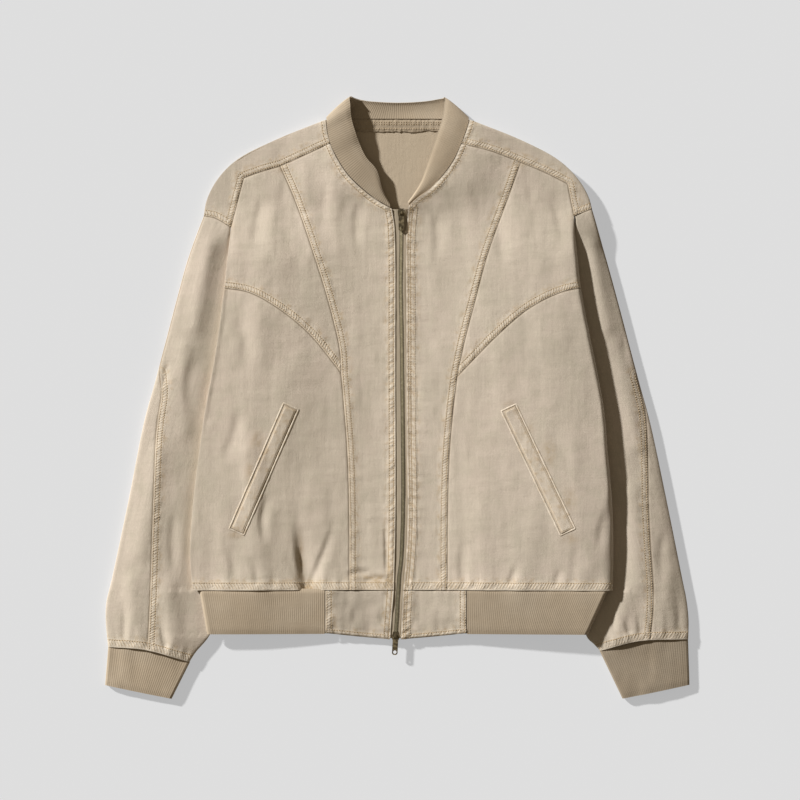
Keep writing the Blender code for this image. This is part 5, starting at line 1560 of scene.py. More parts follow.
class StitchForm(NodeForm):
    """Stitches along the edges of a mesh of lines."""

    def __init__(self, material: bpy.types.Material) -> None:
        """Build the tree; lengths are in metres."""
        super().__init__("stitches", {"Pitch": 3.1 * MM, "Stitch Length": 2.3 * MM,
                                      "Thread": 0.42 * MM, "Unevenness": 0.14})
        ball = self.add("GeometryNodeMeshUVSphere", {}, {"Segments": 6, "Rings": 4, "Radius": 1.0})
        smooth = self.add("GeometryNodeSetShadeSmooth", {}, {"Geometry": ball})
        chance = self.add("FunctionNodeRandomValue", {"data_type": "FLOAT"},
                          {2: -1.0, 3: 1.0, "Seed": 4}, output=1)
        swing = 1.0 + chance * self.given("Unevenness")
        half = self.given("Stitch Length") * 0.5 * swing
        size = self.joined(half, self.given("Thread"), self.given("Thread"))
        self.close(self.along_edges(smooth, "X", {"Scale": size}), material)


class TeethForm(NodeForm):
    """Zip teeth from both tapes, meshed along a line."""

    def __init__(self, material: bpy.types.Material) -> None:
        """Build the tree: a bar with a round head for each tooth, turned by side."""
        super().__init__("zip_teeth", {"Pitch": TOOTH_PITCH * MM, "Reach": 2.7 * MM, "Side": 1.0,
                                       "Thickness": 0.95 * MM, "Height": 2.1 * MM})
        reach, thick, high = (self.given(key) for key in ("Reach", "Thickness", "Height"))
        bar = self.add("GeometryNodeMeshCube", {}, {"Size": self.joined(reach, thick, high)})
        head = self.add("GeometryNodeMeshCylinder", {"fill_type": "NGON"},
                        {"Vertices": 8, "Side Segments": 1, "Fill Segments": 1,
                         "Radius": thick * 0.72, "Depth": high * 1.12})
        tooth = self.add("GeometryNodeJoinGeometry")
        for mesh, share in ((bar, 0.28), (head, -0.20)):
            shift = self.joined(reach * share * self.given("Side"))
            moved = self.add("GeometryNodeTransform", {}, {"Geometry": mesh, "Translation": shift})
            self.tree.links.new(moved.socket, tooth.socket.node.inputs[0])
        self.close(self.along_edges(tooth, "Y"), material)


class WaleForm(NodeForm):
    """Raised wales of a rib knit, which follow the cloth's own coordinates."""

    def __init__(self, material: bpy.types.Material) -> None:
        """Build the tree; lengths are in metres."""
        super().__init__("rib_wales", {"Pitch": RIB_PITCH * MM, "Depth": WALE_DEPTH * MM})
        lay = self.add("GeometryNodeInputNamedAttribute", {"data_type": "FLOAT_VECTOR"},
                       {"Name": "lay"})
        across = self.add("ShaderNodeSeparateXYZ", {}, {0: lay})
        turns = across / self.given("Pitch") * (2 * math.pi)
        push = turns.sine() * 0.5 * self.given("Depth")
        offset = self.add("ShaderNodeVectorMath", {"operation": "SCALE"},
                          {0: self.add("GeometryNodeInputNormal"), "Scale": push})
        moved = self.add("GeometryNodeSetPosition", {}, {"Geometry": self.given("Geometry"),
                                                         "Offset": offset})
        self.close(moved, material)


# ------------------------------------------------------------------ shared workshop
@dataclass
class Cloth:
    """How a cloth piece is declared.

    Attributes:
        node: The solid that it stands for.
        flat: Size of its flat piece of cloth, in millimetres.
        rests_on: What it lies on; not used.
        slot: Name of its material; not used.
    """

    node: str
    flat: tuple[float, float]
    rests_on: list[str]
    slot: str = "canvas"


def declare(piece: bpy.types.Object, shell: Shell, cloth: Cloth) -> None:
    """Make a cloth piece ride, stand for its solid and say how it was cut."""
    area = min(shell.area(), cloth.flat[0] * cloth.flat[1])
    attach(piece, BODY)
    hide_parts(cloth.node)
    log.info("%s: %d faces, cut %.0f x %.0f mm, %.0f of it used", piece.name,
             len(piece.data.polygons), *cloth.flat, area)


def inward(line: PlanCurve, plan: Array) -> int:
    """1 where a panel lies to the left of a line's run, else -1, by its points nearest to it."""
    middle = line.at(np.array(0.5))
    ahead = line.at(np.array(0.52)) - line.at(np.array(0.48))
    flat = plan.reshape(-1, 2)
    near = flat[np.argsort(np.linalg.norm(flat - middle, axis=1))[:60]].mean(axis=0) - middle
    return 1 if ahead[0] * near[1] - ahead[1] * near[0] > 0 else -1


class StitchLines:
    """Collects the rows of stitches and makes them in one piece."""

    LIFT = 0.05       # how far a stitch's middle lies over the cloth
    SPACING = 1.6     # between the points of a row
    SHORT = 1.0       # how far a row stops short of the seam's ends
    NUDGE = 0.004     # share of a line over which its direction is taken

    def __init__(self, wardrobe: Wardrobe) -> None:
        """Start with no rows."""
        self.wardrobe = wardrobe
        self.rows: list[Array] = []

    def beside(self, seam: Seam, plan: Array, surface: BVHTree) -> None:
        """Rows beside a seam, dropped onto a panel.

        Args:
            seam: The sewn edge.
            plan: The panel's plan grid; the rows lie on its side of the seam.
            surface: The panel's outer face, in millimetres.
        """
        for gap in seam.sewing.value.rows:
            self.offset(seam.line, gap * inward(seam.line, plan), surface)

    def offset(self, line: PlanCurve, gap: float, surface: BVHTree) -> None:
        """One row at a distance to the left of a line's run."""
        count = max(int(line.size / self.SPACING), 4)
        share = np.linspace(self.SHORT / line.size, 1 - self.SHORT / line.size, count)
        ahead = line.at(share + self.NUDGE) - line.at(share - self.NUDGE)
        ahead /= np.linalg.norm(ahead, axis=-1, keepdims=True).clip(1e-9)
        plan = line.at(share) + gap * np.stack([-ahead[:, 1], ahead[:, 0]], axis=-1)
        run: list[tuple[float, float, float]] = []
        for x, y in plan:
            height = dropped(surface, x, y)
            if height is None:
                self._keep(run)
                run = []
            else:
                run.append((x, y, height + self.LIFT))
        self._keep(run)

    def _keep(self, run: list[tuple[float, float, float]]) -> None:
        """Keep a run that is long enough for a few stitches."""
        if len(run) > 4:
            self.rows.append(np.array(run))

    def build(self, name: str) -> bpy.types.Object:
        """All rows as one mesh of stitches."""
        piece = StitchForm(self.wardrobe.thread).applied(line_object(name, self.rows))
        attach(piece, BODY)
        log.info("%s: %d rows, %d faces", name, len(self.rows), len(piece.data.polygons))
        return piece


# ------------------------------------------------------------------ body
@dataclass
class BodyPanels:
    """The front panels, the yokes and the back.

    Attributes:
        wardrobe: The materials.
        stitches: Where the rows of stitches are collected.
        step: Spacing of the mesh away from the seams.
        back_step: The same on the back.
        surfaces: The outer face of each finished panel, by the name of its solid.
    """

    wardrobe: Wardrobe
    stitches: StitchLines
    step: float = 2.6
    back_step: float = 5.4
    surfaces: dict[str, BVHTree] = field(default_factory=dict)

    SHADE_AND_TONE = {False: 0.01, True: 0.085}    # painted shade: the right front and the yokes are drawn darker
    ARM_BLEND = 0.05                        # share over which a fold becomes the armhole seam

    def build(self) -> None:
        """Make every panel of the body."""
        for cut in CUTS.values():
            self.front_centre(cut)
            self.front_side(cut)
            self.front_chest(cut)
            self.yoke(cut)
        self.back()

    def panel(self, cut: SideCut, patch: Patch, seams: Sequence[Seam],
              near: Sequence[Sequence[float]], cloth: Cloth,
              roll: tuple[Callable[[Array], Array], Callable[[Array], Array]] | None = None
              ) -> None:
        """One front panel: plan, height, relief, shell and stitches.

        Args:
            cut: The side it is on.
            patch: The four plan lines.
            seams: Its sewn edges.
            near: Distances of the close columns and rows, left, right, bottom and top.
            cloth: Its declaration.
            roll: Radius of the fold on the grid's first side, by Y, and its fullness by share.
        """
        plan = trimmed(patch.plan(*near, self.step))
        x, y = plan[..., 0], plan[..., 1]
        data = seam_field(plan, seams)
        top = LIE.front(x, y) + data["relief"]
        if roll:
            radius, fullness = roll
            gap = np.linalg.norm(plan - plan[:, :1], axis=-1)
            share = np.linspace(0, 1, len(plan))[:, None]
            sine = 1 - (1 - roll_sine(gap, radius(y[:, :1]))) * fullness(share)
            top = rolled(top, LIE.support(x, y), sine, True, LIE.edge_middle(x, y))
        shell = Shell(cloth.node + "_cloth", at_height(plan, top), CANVAS_WALL, -cut.sign)
        darker = "yoke" in cloth.node or cut.sign > 0
        # painted shade on the right front, the yokes, the far right, and beside the zip on the left
        shell.unfaded = self.SHADE_AND_TONE[darker] + self._painted_far_shade(x)
        shell.sewn(data).attribute("marked", marked(x, y)).laid(x, y)
        surface = self.surfaces[cloth.node] = shell.surface()
        for seam in seams:
            self.stitches.beside(seam, plan, surface)
        declare(shell.build(self.wardrobe.canvas), shell, cloth)

    @staticmethod
    def _painted_far_shade(x: Array) -> Array:
        """Painted shade: how much darker the cloth is drawn far to the right, and on the left
        beside the zip.
        """
        tone = 0.065 * ease((x - 90) / 85) + 0.055 * ease((x - 185) / 60)
        return tone + 0.075 * ease((x + 15) / 7) * (x < 0)

    def front_centre(self, cut: SideCut) -> None:
        """Panel between the princess seam and the zip, up to the neck and the yoke."""
        left = joined(PlanCurve(cut.princess_low), PlanCurve(cut.princess_high))
        right = PlanCurve(cut.front_edge)
        bottom = straight(cut.princess_low[0], cut.front_edge[0])
        yoke_seam, neck = PlanCurve(cut.yoke_seam_centre), PlanCurve(cut.neckline)
        seams = [Seam(left, Sewing.FELLED), Seam(right, PLACKET[cut.sign]),
                 Seam(bottom, Sewing.HEM), Seam(yoke_seam, Sewing.PLAIN), Seam(neck, Sewing.NECK)]
        self.panel(cut, Patch(bottom, joined(yoke_seam, neck), left, right), seams,
                   (SEAM_STEPS,) * 4, Cloth(f"front_center_{cut.side}", (170, 582), ["back_panel"]))

    def front_side(self, cut: SideCut) -> None:
        """Lower side panel, from the body's folded side to the princess seam."""
        left = LIE.body_edge[cut.sign].part(cut.body_edge[0].y, cut.chest_seam[0].y)
        right, top = PlanCurve(cut.princess_low), PlanCurve(cut.chest_seam)
        bottom = straight(cut.body_edge[0], cut.princess_low[0])
        seams = [Seam(right, Sewing.PLAIN), Seam(top, Sewing.PLAIN), Seam(bottom, Sewing.HEM)]
        self.panel(cut, Patch(bottom, top, left, right), seams, SIDE_STEPS,
                   Cloth(f"front_side_{cut.side}", (226, 408), ["back_panel"]),
                   (lambda y: LIE.edge_roll(cut.sign, y), np.ones_like))

    def front_chest(self, cut: SideCut) -> None:
        """Upper side panel, from the folded side and the armhole to the princess seam."""
        free = LIE.body_edge[cut.sign].part(cut.chest_seam[0].y, cut.armhole[0].y)
        arm = PlanCurve(cut.armhole)
        left, right = joined(free, arm), PlanCurve(cut.princess_high)
        bottom, top = PlanCurve(cut.chest_seam), PlanCurve(cut.yoke_seam_chest)
        bound = free.size / left.size
        seams = [Seam(arm, Sewing.PLAIN), Seam(right, Sewing.PLAIN), Seam(bottom, Sewing.FELLED),
                 Seam(top, Sewing.PLAIN)]
        self.panel(cut, Patch(bottom, top, left, right), seams, SIDE_STEPS,
                   Cloth(f"front_chest_{cut.side}", (196, 288), ["back_panel"]),
                   (lambda y: LIE.edge_roll(cut.sign, y),
                    lambda share: 1 - ease((share - bound + self.ARM_BLEND) / self.ARM_BLEND)))

    def yoke(self, cut: SideCut) -> None:
        """Strip over the shoulder, from the neck to the sleeve."""
        seam = joined(PlanCurve(cut.armhole), PlanCurve(cut.yoke_seam_chest),
                      PlanCurve(cut.yoke_seam_centre))
        end, neck = PlanCurve(cut.sleeve_seam), PlanCurve(cut.neck_side).turned()
        seams = [Seam(seam, Sewing.YOKE), Seam(end, Sewing.YOKE), Seam(neck, Sewing.NECK)]
        near = (roll_steps(SHOULDER_ROLL), *(SEAM_STEPS,) * 3)
        self.panel(cut, Patch(end, neck, PlanCurve(cut.shoulder), seam), seams, near,
                   Cloth(f"shoulder_yoke_{cut.side}", (66, 216), ["back_panel"]),
                   (lambda y: SHOULDER_ROLL + 0 * y, np.ones_like))

    def back(self) -> None:
        """The whole back, from the hem to the neck, rolled up at the sides and shoulders."""
        left = LIE.body_edge[-1].part(LEFT.body_edge[0].y, LEFT.armhole[0].y)
        right = LIE.body_edge[1].part(RIGHT.body_edge[0].y, RIGHT.armhole[0].y)
        v = np.linspace(0, 1, int(left.size / self.back_step))
        start, end = left.at(v), right.at(v)
        width = np.linalg.norm(end - start, axis=-1)
        d = stations(width, roll_steps(BODY_ROLL), roll_steps(BODY_ROLL), self.back_step)
        plan = start[:, None] + (end - start)[:, None] * (d / width[:, None])[..., None]
        gap = np.minimum(d, width[:, None] - d)
        low = self._back_grid(plan, gap, BODY_ROLL, self._flat_last(len(v), gap))
        high = self._back_high(plan[-1])
        grid = np.concatenate([low, high[1:]])
        edges = [Seam(straight(LEFT.body_edge[0], RIGHT.body_edge[0]), Sewing.HEM),
                 Seam(self._neck_line(), Sewing.PLAIN)]
        shell = Shell("back_panel_cloth", grid, CANVAS_WALL, -1)
        shell.sewn(seam_field(grid[..., :2], edges)).laid(grid[..., 0], grid[..., 1])
        self.surfaces["back_panel"] = shell.surface()
        declare(shell.build(self.wardrobe.canvas), shell,
                Cloth("back_panel", (560, 612), ["sleeve_front_left", "sleeve_front_right"]))

    @staticmethod
    def _neck_line() -> PlanCurve:
        """The back's upper edge, where the collar is sewn on."""
        return straight((NECK_SEAM_X[0], NECK_SEAM_Y), (NECK_SEAM_X[1], NECK_SEAM_Y))

    @staticmethod
    def _flat_last(count: int, gap: Array) -> Array:
        """Fullness of the side fold, let out over the last rows below the armhole."""
        return 1 - ease((np.arange(count)[:, None] - count + 4) / 3.0) + 0 * gap

    @staticmethod
    def _back_grid(plan: Array, gap: Array, radius: float, fullness: Array) -> Array:
        """Points of the back's lower face, from a plan grid."""
        x, y = plan[..., 0], plan[..., 1]
        rest = LIE.support(x, y)
        soft = sum(c.rise(x, y) for c in BACK_CREASES)
        lifted = rest + np.maximum(0.0, -0.35 * soft) * ease(gap / 30)
        sine = 1 - (1 - roll_sine(gap, radius)) * fullness
        return at_height(plan, rolled(LIE.front_plain(x, y), lifted, sine, False,
                                      LIE.edge_middle(x, y)))

    def _back_high(self, bottom: Array) -> Array:
        """Rows from the armhole row up to the shoulder folds and the neck."""
        n_cols = len(bottom)
        shoulder_l, shoulder_r = PlanCurve(LEFT.shoulder), PlanCurve(RIGHT.shoulder).turned()
        share = (bottom[:, 0] - bottom[0, 0]) / (bottom[-1, 0] - bottom[0, 0])
        first = int(np.searchsorted(share, 0.30))
        last = n_cols - first
        goal = np.concatenate([
            shoulder_l.at(np.linspace(0, 1, first + 1)),
            self._neck_line().at(np.linspace(0, 1, last - first)[1:-1]),
            shoulder_r.at(np.linspace(0, 1, first + 1))])[:n_cols]
        left, right = PlanCurve(LEFT.sleeve_seam).turned(), PlanCurve(RIGHT.sleeve_seam).turned()
        length = np.linalg.norm(goal - bottom, axis=-1).clip(8.0)
        turns = roll_steps(SHOULDER_ROLL)
        v = (stations(length, (0.0, 3.0), turns, self.back_step) / length[:, None]).T
        u = np.linspace(0, 1, n_cols)[None, :] + 0 * v
        a, b = u[..., None], v[..., None]
        plan = (1 - b) * bottom + b * goal + (1 - a) * left.at(v) + a * right.at(v)
        plan = plan - (1 - a) * ((1 - b) * bottom[0] + b * goal[0])
        plan = plan - a * ((1 - b) * bottom[-1] + b * goal[-1])
        gap = np.linalg.norm(plan - goal, axis=-1)
        column = np.arange(n_cols)
        past = np.minimum(column, n_cols - 1 - column) - first
        fullness = (1 - ease((past + 1) / 3.0))[None, :] + 0 * gap
        return self._back_grid(plan, gap, SHOULDER_ROLL, fullness)


# ------------------------------------------------------------------ sleeves and cuffs
@dataclass
class Sleeves:
    """Both sleeves: an upper and an under piece each, and their rib cuffs."""

    wardrobe: Wardrobe
    stitches: StitchLines
    wales: WaleForm
    step: float = 3.0
    clear: float = 0.6          # between the inner fold and what lies beside it

    TUCK_IN = 3.0               # how far the inner fold lies deeper under the armhole
    TUCK_RANGE = (110, 210)     # heights between which it does
    # painted shade: the sleeves are drawn darker, the right one most; the right cuff much darker,
    # the left a touch paler
    SHADE_AND_TONE = {-1: 0.08, 1: 0.20}
    CUFF_PAINTED_SHADE = {-1: -0.02, 1: 0.29}
    CUFF_LENGTH = 50.0
    CUFF_WALES = 0.07
    WIDEST = 0.84               # share of a sleeve's height at which its fold reaches furthest
    CUFF_WIDEST = 0.72
    COARSER = 1.7               # spacing of the under sleeve's mesh, to the upper one's

    def build(self) -> None:
        """Make both sleeves and cuffs."""
        for cut in CUTS.values():
            self.sleeve(cut)
            self.cuff(cut)

    def sleeve(self, cut: SideCut) -> None:
        """Upper and under sleeve, sewn together along the outer seam."""
        seam_top, cuff_line = PlanCurve(cut.sleeve_seam), PlanCurve(cut.cuff_seam)
        low, high = self.TUCK_RANGE
        tucked = [Point(p.x - cut.sign * self.TUCK_IN * (low < p.y < high), p.y)
                  for p in cut.sleeve_inner]
        outer, inner = PlanCurve(cut.sleeve_outer), PlanCurve(tucked)
        lines = (seam_top, cuff_line, outer, inner)
        length = outer.size
        v = stations(np.array([length]), SEAM_STEPS, SEAM_STEPS, self.step)[0] / length
        start, end = outer.at(v), inner.at(v)
        full = np.linalg.norm(end - start, axis=-1)
        width = full - self.clear
        outer_seam = PlanCurve(cut.outer_seam)
        reach = np.abs(outer_seam.x_at(start[:, 1]) - start[:, 0])
        below = ease((cut.outer_seam[0].y + 8 - start[:, 1]) / 16.0)
        seam = np.maximum(reach * below, 0.3 * SLEEVE_ROLL)
        rolls = roll_steps(SLEEVE_ROLL)
        span = width - seam
        across = seam[:, None] + stations(span, SEAM_STEPS, rolls, self.step)
        plan = coons(*lines, across / full[:, None], v[:, None] + 0 * across)
        self._upper(cut, plan, lines, across, width)
        self._under(cut, lines, v, full, width, seam)

    def _height(self, cut: SideCut, plan: Array, relief: Array, across: Array, width: Array,
                upper: bool) -> Array:
        """Heights of a sleeve's outer face, rolled at both folds."""
        top = LIE.sleeve(cut.sign, plan[..., 0], plan[..., 1]) + relief
        sine = roll_sine(np.minimum(width[:, None] - across, across), SLEEVE_ROLL)
        return rolled(top, 0.0 * top, sine, upper, self.WIDEST)

    def _upper(self, cut: SideCut, plan: Array, lines: tuple, across: Array,
               width: Array) -> None:
        """The upper sleeve, from the outer seam to the inner fold."""
        plan = trimmed(plan, "bt")
        edge = PlanCurve([Point(*p) for p in plan[::12, 0]])
        low = edge.part(cut.outer_seam[0].y, plan[-1, 0, 1] + 2.0)
        seams = [Seam(lines[0], Sewing.PLAIN), Seam(lines[1], Sewing.HEM), Seam(low, Sewing.FELLED)]
        data = seam_field(plan, seams)
        covered = LIE.cover_edge(cut.sign, plan[..., 1])
        shown = ease((plan[..., 0] - covered) * cut.sign / 4.0 + 1.0)
        z = self._height(cut, plan, data["relief"] * shown, across, width, True)
        shell = Shell(f"sleeve_upper_{cut.side}", at_height(plan, z), CANVAS_WALL, cut.sign)
        shell.unfaded = self.SHADE_AND_TONE[cut.sign]
        shell.sewn(data).laid(across, plan[..., 1])
        surface = shell.surface()
        for seam in seams[1:]:
            self.stitches.beside(seam, plan, surface)
        declare(shell.build(self.wardrobe.canvas), shell,
                Cloth(f"sleeve_front_{cut.side}", (180, 576), ["studio_floor"]))

    def _under(self, cut: SideCut, lines: tuple, v: Array, full: Array, width: Array,
               seam: Array) -> None:
        """The under sleeve, from the outer seam over the outer fold to the inner fold."""
        rolls = roll_steps(SLEEVE_ROLL)
        over = stations(seam, (0.0, 0.6, 1.4, 3.0), rolls[:10], self.step)
        over = seam[:, None] - over
        below = stations(width, rolls, rolls, self.step * self.COARSER)[:, 1:]
        across = np.concatenate([over, below], axis=1)
        plan = coons(*lines, across / full[:, None], v[:, None] + 0 * across)
        plan = trimmed(plan, "bt")
        edge = PlanCurve([Point(*p) for p in plan[::12, 0]])
        seams = [Seam(lines[1], Sewing.HEM), Seam(lines[0], Sewing.PLAIN),
                 Seam(edge, Sewing.PLAIN)]
        data = seam_field(plan, seams)
        upper = self._height(cut, plan, data["relief"], across, width, True)
        lower = self._height(cut, plan, 0 * data["relief"], across, width, False)
        on_top = np.arange(across.shape[1])[None, :] < over.shape[1]
        grid = at_height(plan, np.where(on_top, upper, lower))
        shell = Shell(f"sleeve_under_{cut.side}", grid, CANVAS_WALL, -cut.sign)
        shell.unfaded = self.SHADE_AND_TONE[cut.sign]
        shell.sewn(data).laid(np.concatenate([-over, below], axis=1), plan[..., 1])
        top_only = Shell("top", grid[:, :over.shape[1]], 1.0, -cut.sign).surface()
        self.stitches.beside(seams[0], plan, top_only)
        declare(shell.build(self.wardrobe.canvas), shell,
                Cloth(f"sleeve_back_{cut.side}", (226, 576), ["studio_floor"]))

    def cuff(self, cut: SideCut) -> None:
        """Rib cuff, a flattened tube with its wales along the arm."""
        seam, end = PlanCurve(cut.cuff_seam), PlanCurve(cut.cuff_end)
        outer = straight(cut.cuff_seam[0], cut.cuff_end[0])
        inner = straight(cut.cuff_seam[-1], cut.cuff_end[-1])
        v = np.linspace(0, 1, 24)
        width = np.linalg.norm(inner.at(v) - outer.at(v), axis=-1)
        rolls = roll_steps(CUFF_ROLL)
        across = stations(width, rolls, rolls, RIB_PITCH / 4)
        plan = coons(seam, end, outer, inner, across / width[:, None], v[:, None] + 0 * across)
        gap = np.minimum(across, width[:, None] - across)
        share = across / width[:, None]
        x, y = plan[..., 0], plan[..., 1]
        top = CUFF_HEIGHT + 1.2 * np.sin(np.pi * share) + 0.5 * LIE.STREAK.at(x * 1.4, y * 2)
        top = top + 0.9 * bump(v[:, None] * self.CUFF_LENGTH, 9) * np.sin(np.pi * share)
        top = top - 0.7 * bump(v[:, None] - 1.0, 0.07)
        sine = roll_sine(gap, CUFF_ROLL)
        front, back = (at_height(plan, rolled(top, 0 * top, sine, upper, self.CUFF_WIDEST))
                       for upper in (True, False))
        grid = trimmed(np.concatenate([front, back[:, -2:0:-1]], axis=1), "bt")
        run = np.concatenate([across, 2 * width[:, None] - across[:, -2:0:-1]], axis=1)
        # the wales close up on the tube: a whole number of them at every row
        count = round(float(2 * width.mean() / RIB_PITCH))
        lay = run / (2 * width[:, None]) * count * RIB_PITCH
        shell = Shell(f"cuff_knit_{cut.side}", grid, RIB_WALL, cut.sign, closed=True)
        shell.unfaded = self.CUFF_PAINTED_SHADE[cut.sign]
        shell.laid(lay, self.CUFF_LENGTH * v[:, None])
        piece = self.wales.applied(shell.build(self.wardrobe.rib), Depth=self.CUFF_WALES * MM)
        declare(piece, shell, Cloth(f"cuff_{cut.side}", (204, 56), ["studio_floor"], "rib_knit"))


# ------------------------------------------------------------------ hem, tabs and collar
@dataclass
class Ribs:
    """The hem band with its canvas tabs, and the collar."""

    wardrobe: Wardrobe
    stitches: StitchLines
    wales: WaleForm
    hem_rows: int = 18
    collar_rows: int = 16

    LEAN = (0.35, 0.90)     # how steeply the collar rises, on the right and on the left
    LEAN_KNOTS = (8, 11)    # between which knots of the collar it changes
    HEM_PAINTED_SHADE = 0.16      # painted shade, right of the middle
    # painted shade on the tabs and over the whole collar
    TAB_PAINTED_SHADE = {-1: 0.18, 1: 0.13}
    COLLAR_PAINTED_SHADE = 0.10
    CANVAS_STEP = 2.4       # spacing of the tabs' mesh

    def build(self) -> None:
        """Make the hem band, its tabs and the collar."""
        self.hem()
        for cut in CUTS.values():
            self.tab(cut)
        self.collar()

    def hem(self) -> None:
        """One rib band: left front, round the left side, the back, the right side, front."""
        v = np.linspace(0, 1, self.hem_rows)
        y = HEM_Y + 1.8 + v * (RIB_LOW_Y - HEM_Y - 1.8)
        rolls = roll_steps(BODY_ROLL)
        sides = {}
        for sign in (-1, 1):
            edge = LIE.rib_edge[sign].x_at(y)
            width = np.abs(TAB_OUTER[sign] - edge) - 0.6
            d = stations(width, rolls, (0.0, 0.65), RIB_PITCH / 4)
            sides[sign] = edge[:, None] - sign * d
        left, right = sides[-1], sides[1]
        inner = stations(right[:, -1] - left[:, -1], (0.0, 0.65), (0.0, 0.65), RIB_PITCH / 4)
        middle = left[:, -1:] + inner[:, 1:-1]
        parts = [(left[:, ::-1], True), (left[:, 1:], False), (middle, False),
                 (right[:, :0:-1], False), (right, True)]
        x = np.concatenate([part for part, _ in parts], axis=1)
        upper = np.concatenate([np.full(part.shape, up) for part, up in parts], axis=1)
        yy = y[:, None] + 0 * x
        edge = np.where(x < 0, left[:, :1], right[:, :1])
        sine = roll_sine(np.abs(x - edge), BODY_ROLL)
        top, rest = LIE.rib(x, yy), LIE.support(x, yy)
        top = top - 0.8 * bump(v[:, None] - 1.0, 0.06) - 1.4 * (1 - ease(v[:, None] / 0.05))
        z = np.where(upper, rolled(top, rest, sine, True), rolled(top, rest, sine, False))
        grid = np.stack([x, yy, z], axis=-1)
        run = running(grid[0])
        shell = Shell("hem_knit", grid, RIB_WALL, 1)
        shell.unfaded = self.HEM_PAINTED_SHADE * ease((x - 40) / 60)
        shell.laid(run[None, :], yy)
        piece = self.wales.applied(shell.build(self.wardrobe.rib))
        declare(piece, shell, Cloth("hem_rib", (float(run[-1]), 55), ["studio_floor"],
                                    "rib_knit"))

    def tab(self, cut: SideCut) -> None:
        """Canvas tab beside the zip at the hem."""
        outer_x = TAB_OUTER[cut.sign]
        outer = straight((outer_x, RIB_TOP_Y), (outer_x, cut.tab_bottom[0].y))
        inner, bottom = PlanCurve(cut.tab_zip), PlanCurve(cut.tab_bottom)
        top = straight((outer_x, RIB_TOP_Y), cut.tab_zip[0])
        plan = trimmed(Patch(top, bottom, outer, inner).plan(
            SEAM_STEPS, SEAM_STEPS, PLAIN_STEPS, SEAM_STEPS, self.CANVAS_STEP))
        seams = [Seam(outer, Sewing.FELLED), Seam(inner, PLACKET[cut.sign]),
                 Seam(top, Sewing.PLAIN), Seam(bottom, Sewing.NECK)]
        data = seam_field(plan, seams)
        x, y = plan[..., 0], plan[..., 1]
        z = (LIE.front_plain(x, y) + 0.8 * LIE.crumple(x, y)
             + data["relief"] + 0.5 * LIE.FINE.at(x * 1.2, y))
        z = z - 1.1 * bump(nearest_on(plan.reshape(-1, 2), bottom.points)[0].reshape(x.shape), 1.2)
        shell = Shell(f"hem_tab_cloth_{cut.side}", at_height(plan, z), CANVAS_WALL, cut.sign)
        shell.unfaded = self.TAB_PAINTED_SHADE[cut.sign]
        shell.sewn(data).laid(x, y)
        surface = shell.surface()
        for seam in seams:
            self.stitches.beside(seam, plan, surface)
        declare(shell.build(self.wardrobe.canvas), shell,
                Cloth(f"hem_tab_{cut.side}", (104, 76), ["back_panel"]))

    # base_x, base_y, base_z, top_x, top_y, top_z from the zip round to the back's middle
    COLLAR_LEFT = [
        (-9.0, 238.4, 8.3, -9.4, 243.4, 9.0), (-25.3, 248.0, 9.0, -17.5, 258.0, 10.8),
        (-44.6, 262.9, 9.8, -25.9, 285.0, 12.6), (-62.1, 280.3, 10.4, -38.8, 300.5, 13.6),
        (-76.2, 302.0, 10.8, -47.2, 317.6, 14.2), (-83.8, 318.2, 12.0, -52.4, 332.0, 16.4),
        (-87.2, 332.6, 12.4, -57.0, 348.0, 16.8), (-88.5, 346.6, 12.6, -58.9, 366.0, 17.4),
        (-88.0, 352.0, 9.6, -59.3, 377.0, 14.2), (-82.6, 351.6, 5.4, -53.4, 375.6, 9.6),
        (-72.0, 350.6, 1.6, -46.0, 374.0, 4.0), (-56.0, 349.9, 1.0, -38.0, 372.4, 3.2),
        (-34.0, 349.8, 0.3, -24.0, 371.2, 4.6),
    ]
    COLLAR_BACK = (0.0, 349.8, 0.3, 0.0, 370.2, 5.8)
    COLLAR_WIDTH = 30.0
    COLLAR_RIGHT = [
        (14.8, 241.2, 9.0, 13.6, 245.4, 9.6), (25.5, 250.9, 9.8, 21.6, 256.6, 10.6),
        (38.8, 260.5, 9.8, 29.9, 270.8, 11.8), (54.8, 276.5, 10.4, 37.2, 291.6, 13.4),
        (69.0, 295.7, 10.8, 43.6, 311.0, 14.2), (79.6, 317.7, 11.0, 50.3, 330.8, 14.4),
        (85.4, 333.1, 10.8, 55.8, 348.0, 14.2), (89.2, 346.6, 9.8, 58.7, 366.0, 13.6),
        (88.7, 352.0, 5.8, 59.7, 377.0, 9.6), (84.7, 351.4, 1.4, 57.0, 375.8, 5.4),
        (70.6, 350.0, 0.3, 46.4, 373.6, 4.8), (36.4, 349.8, 0.3, 26.4, 371.2, 5.4),
    ]

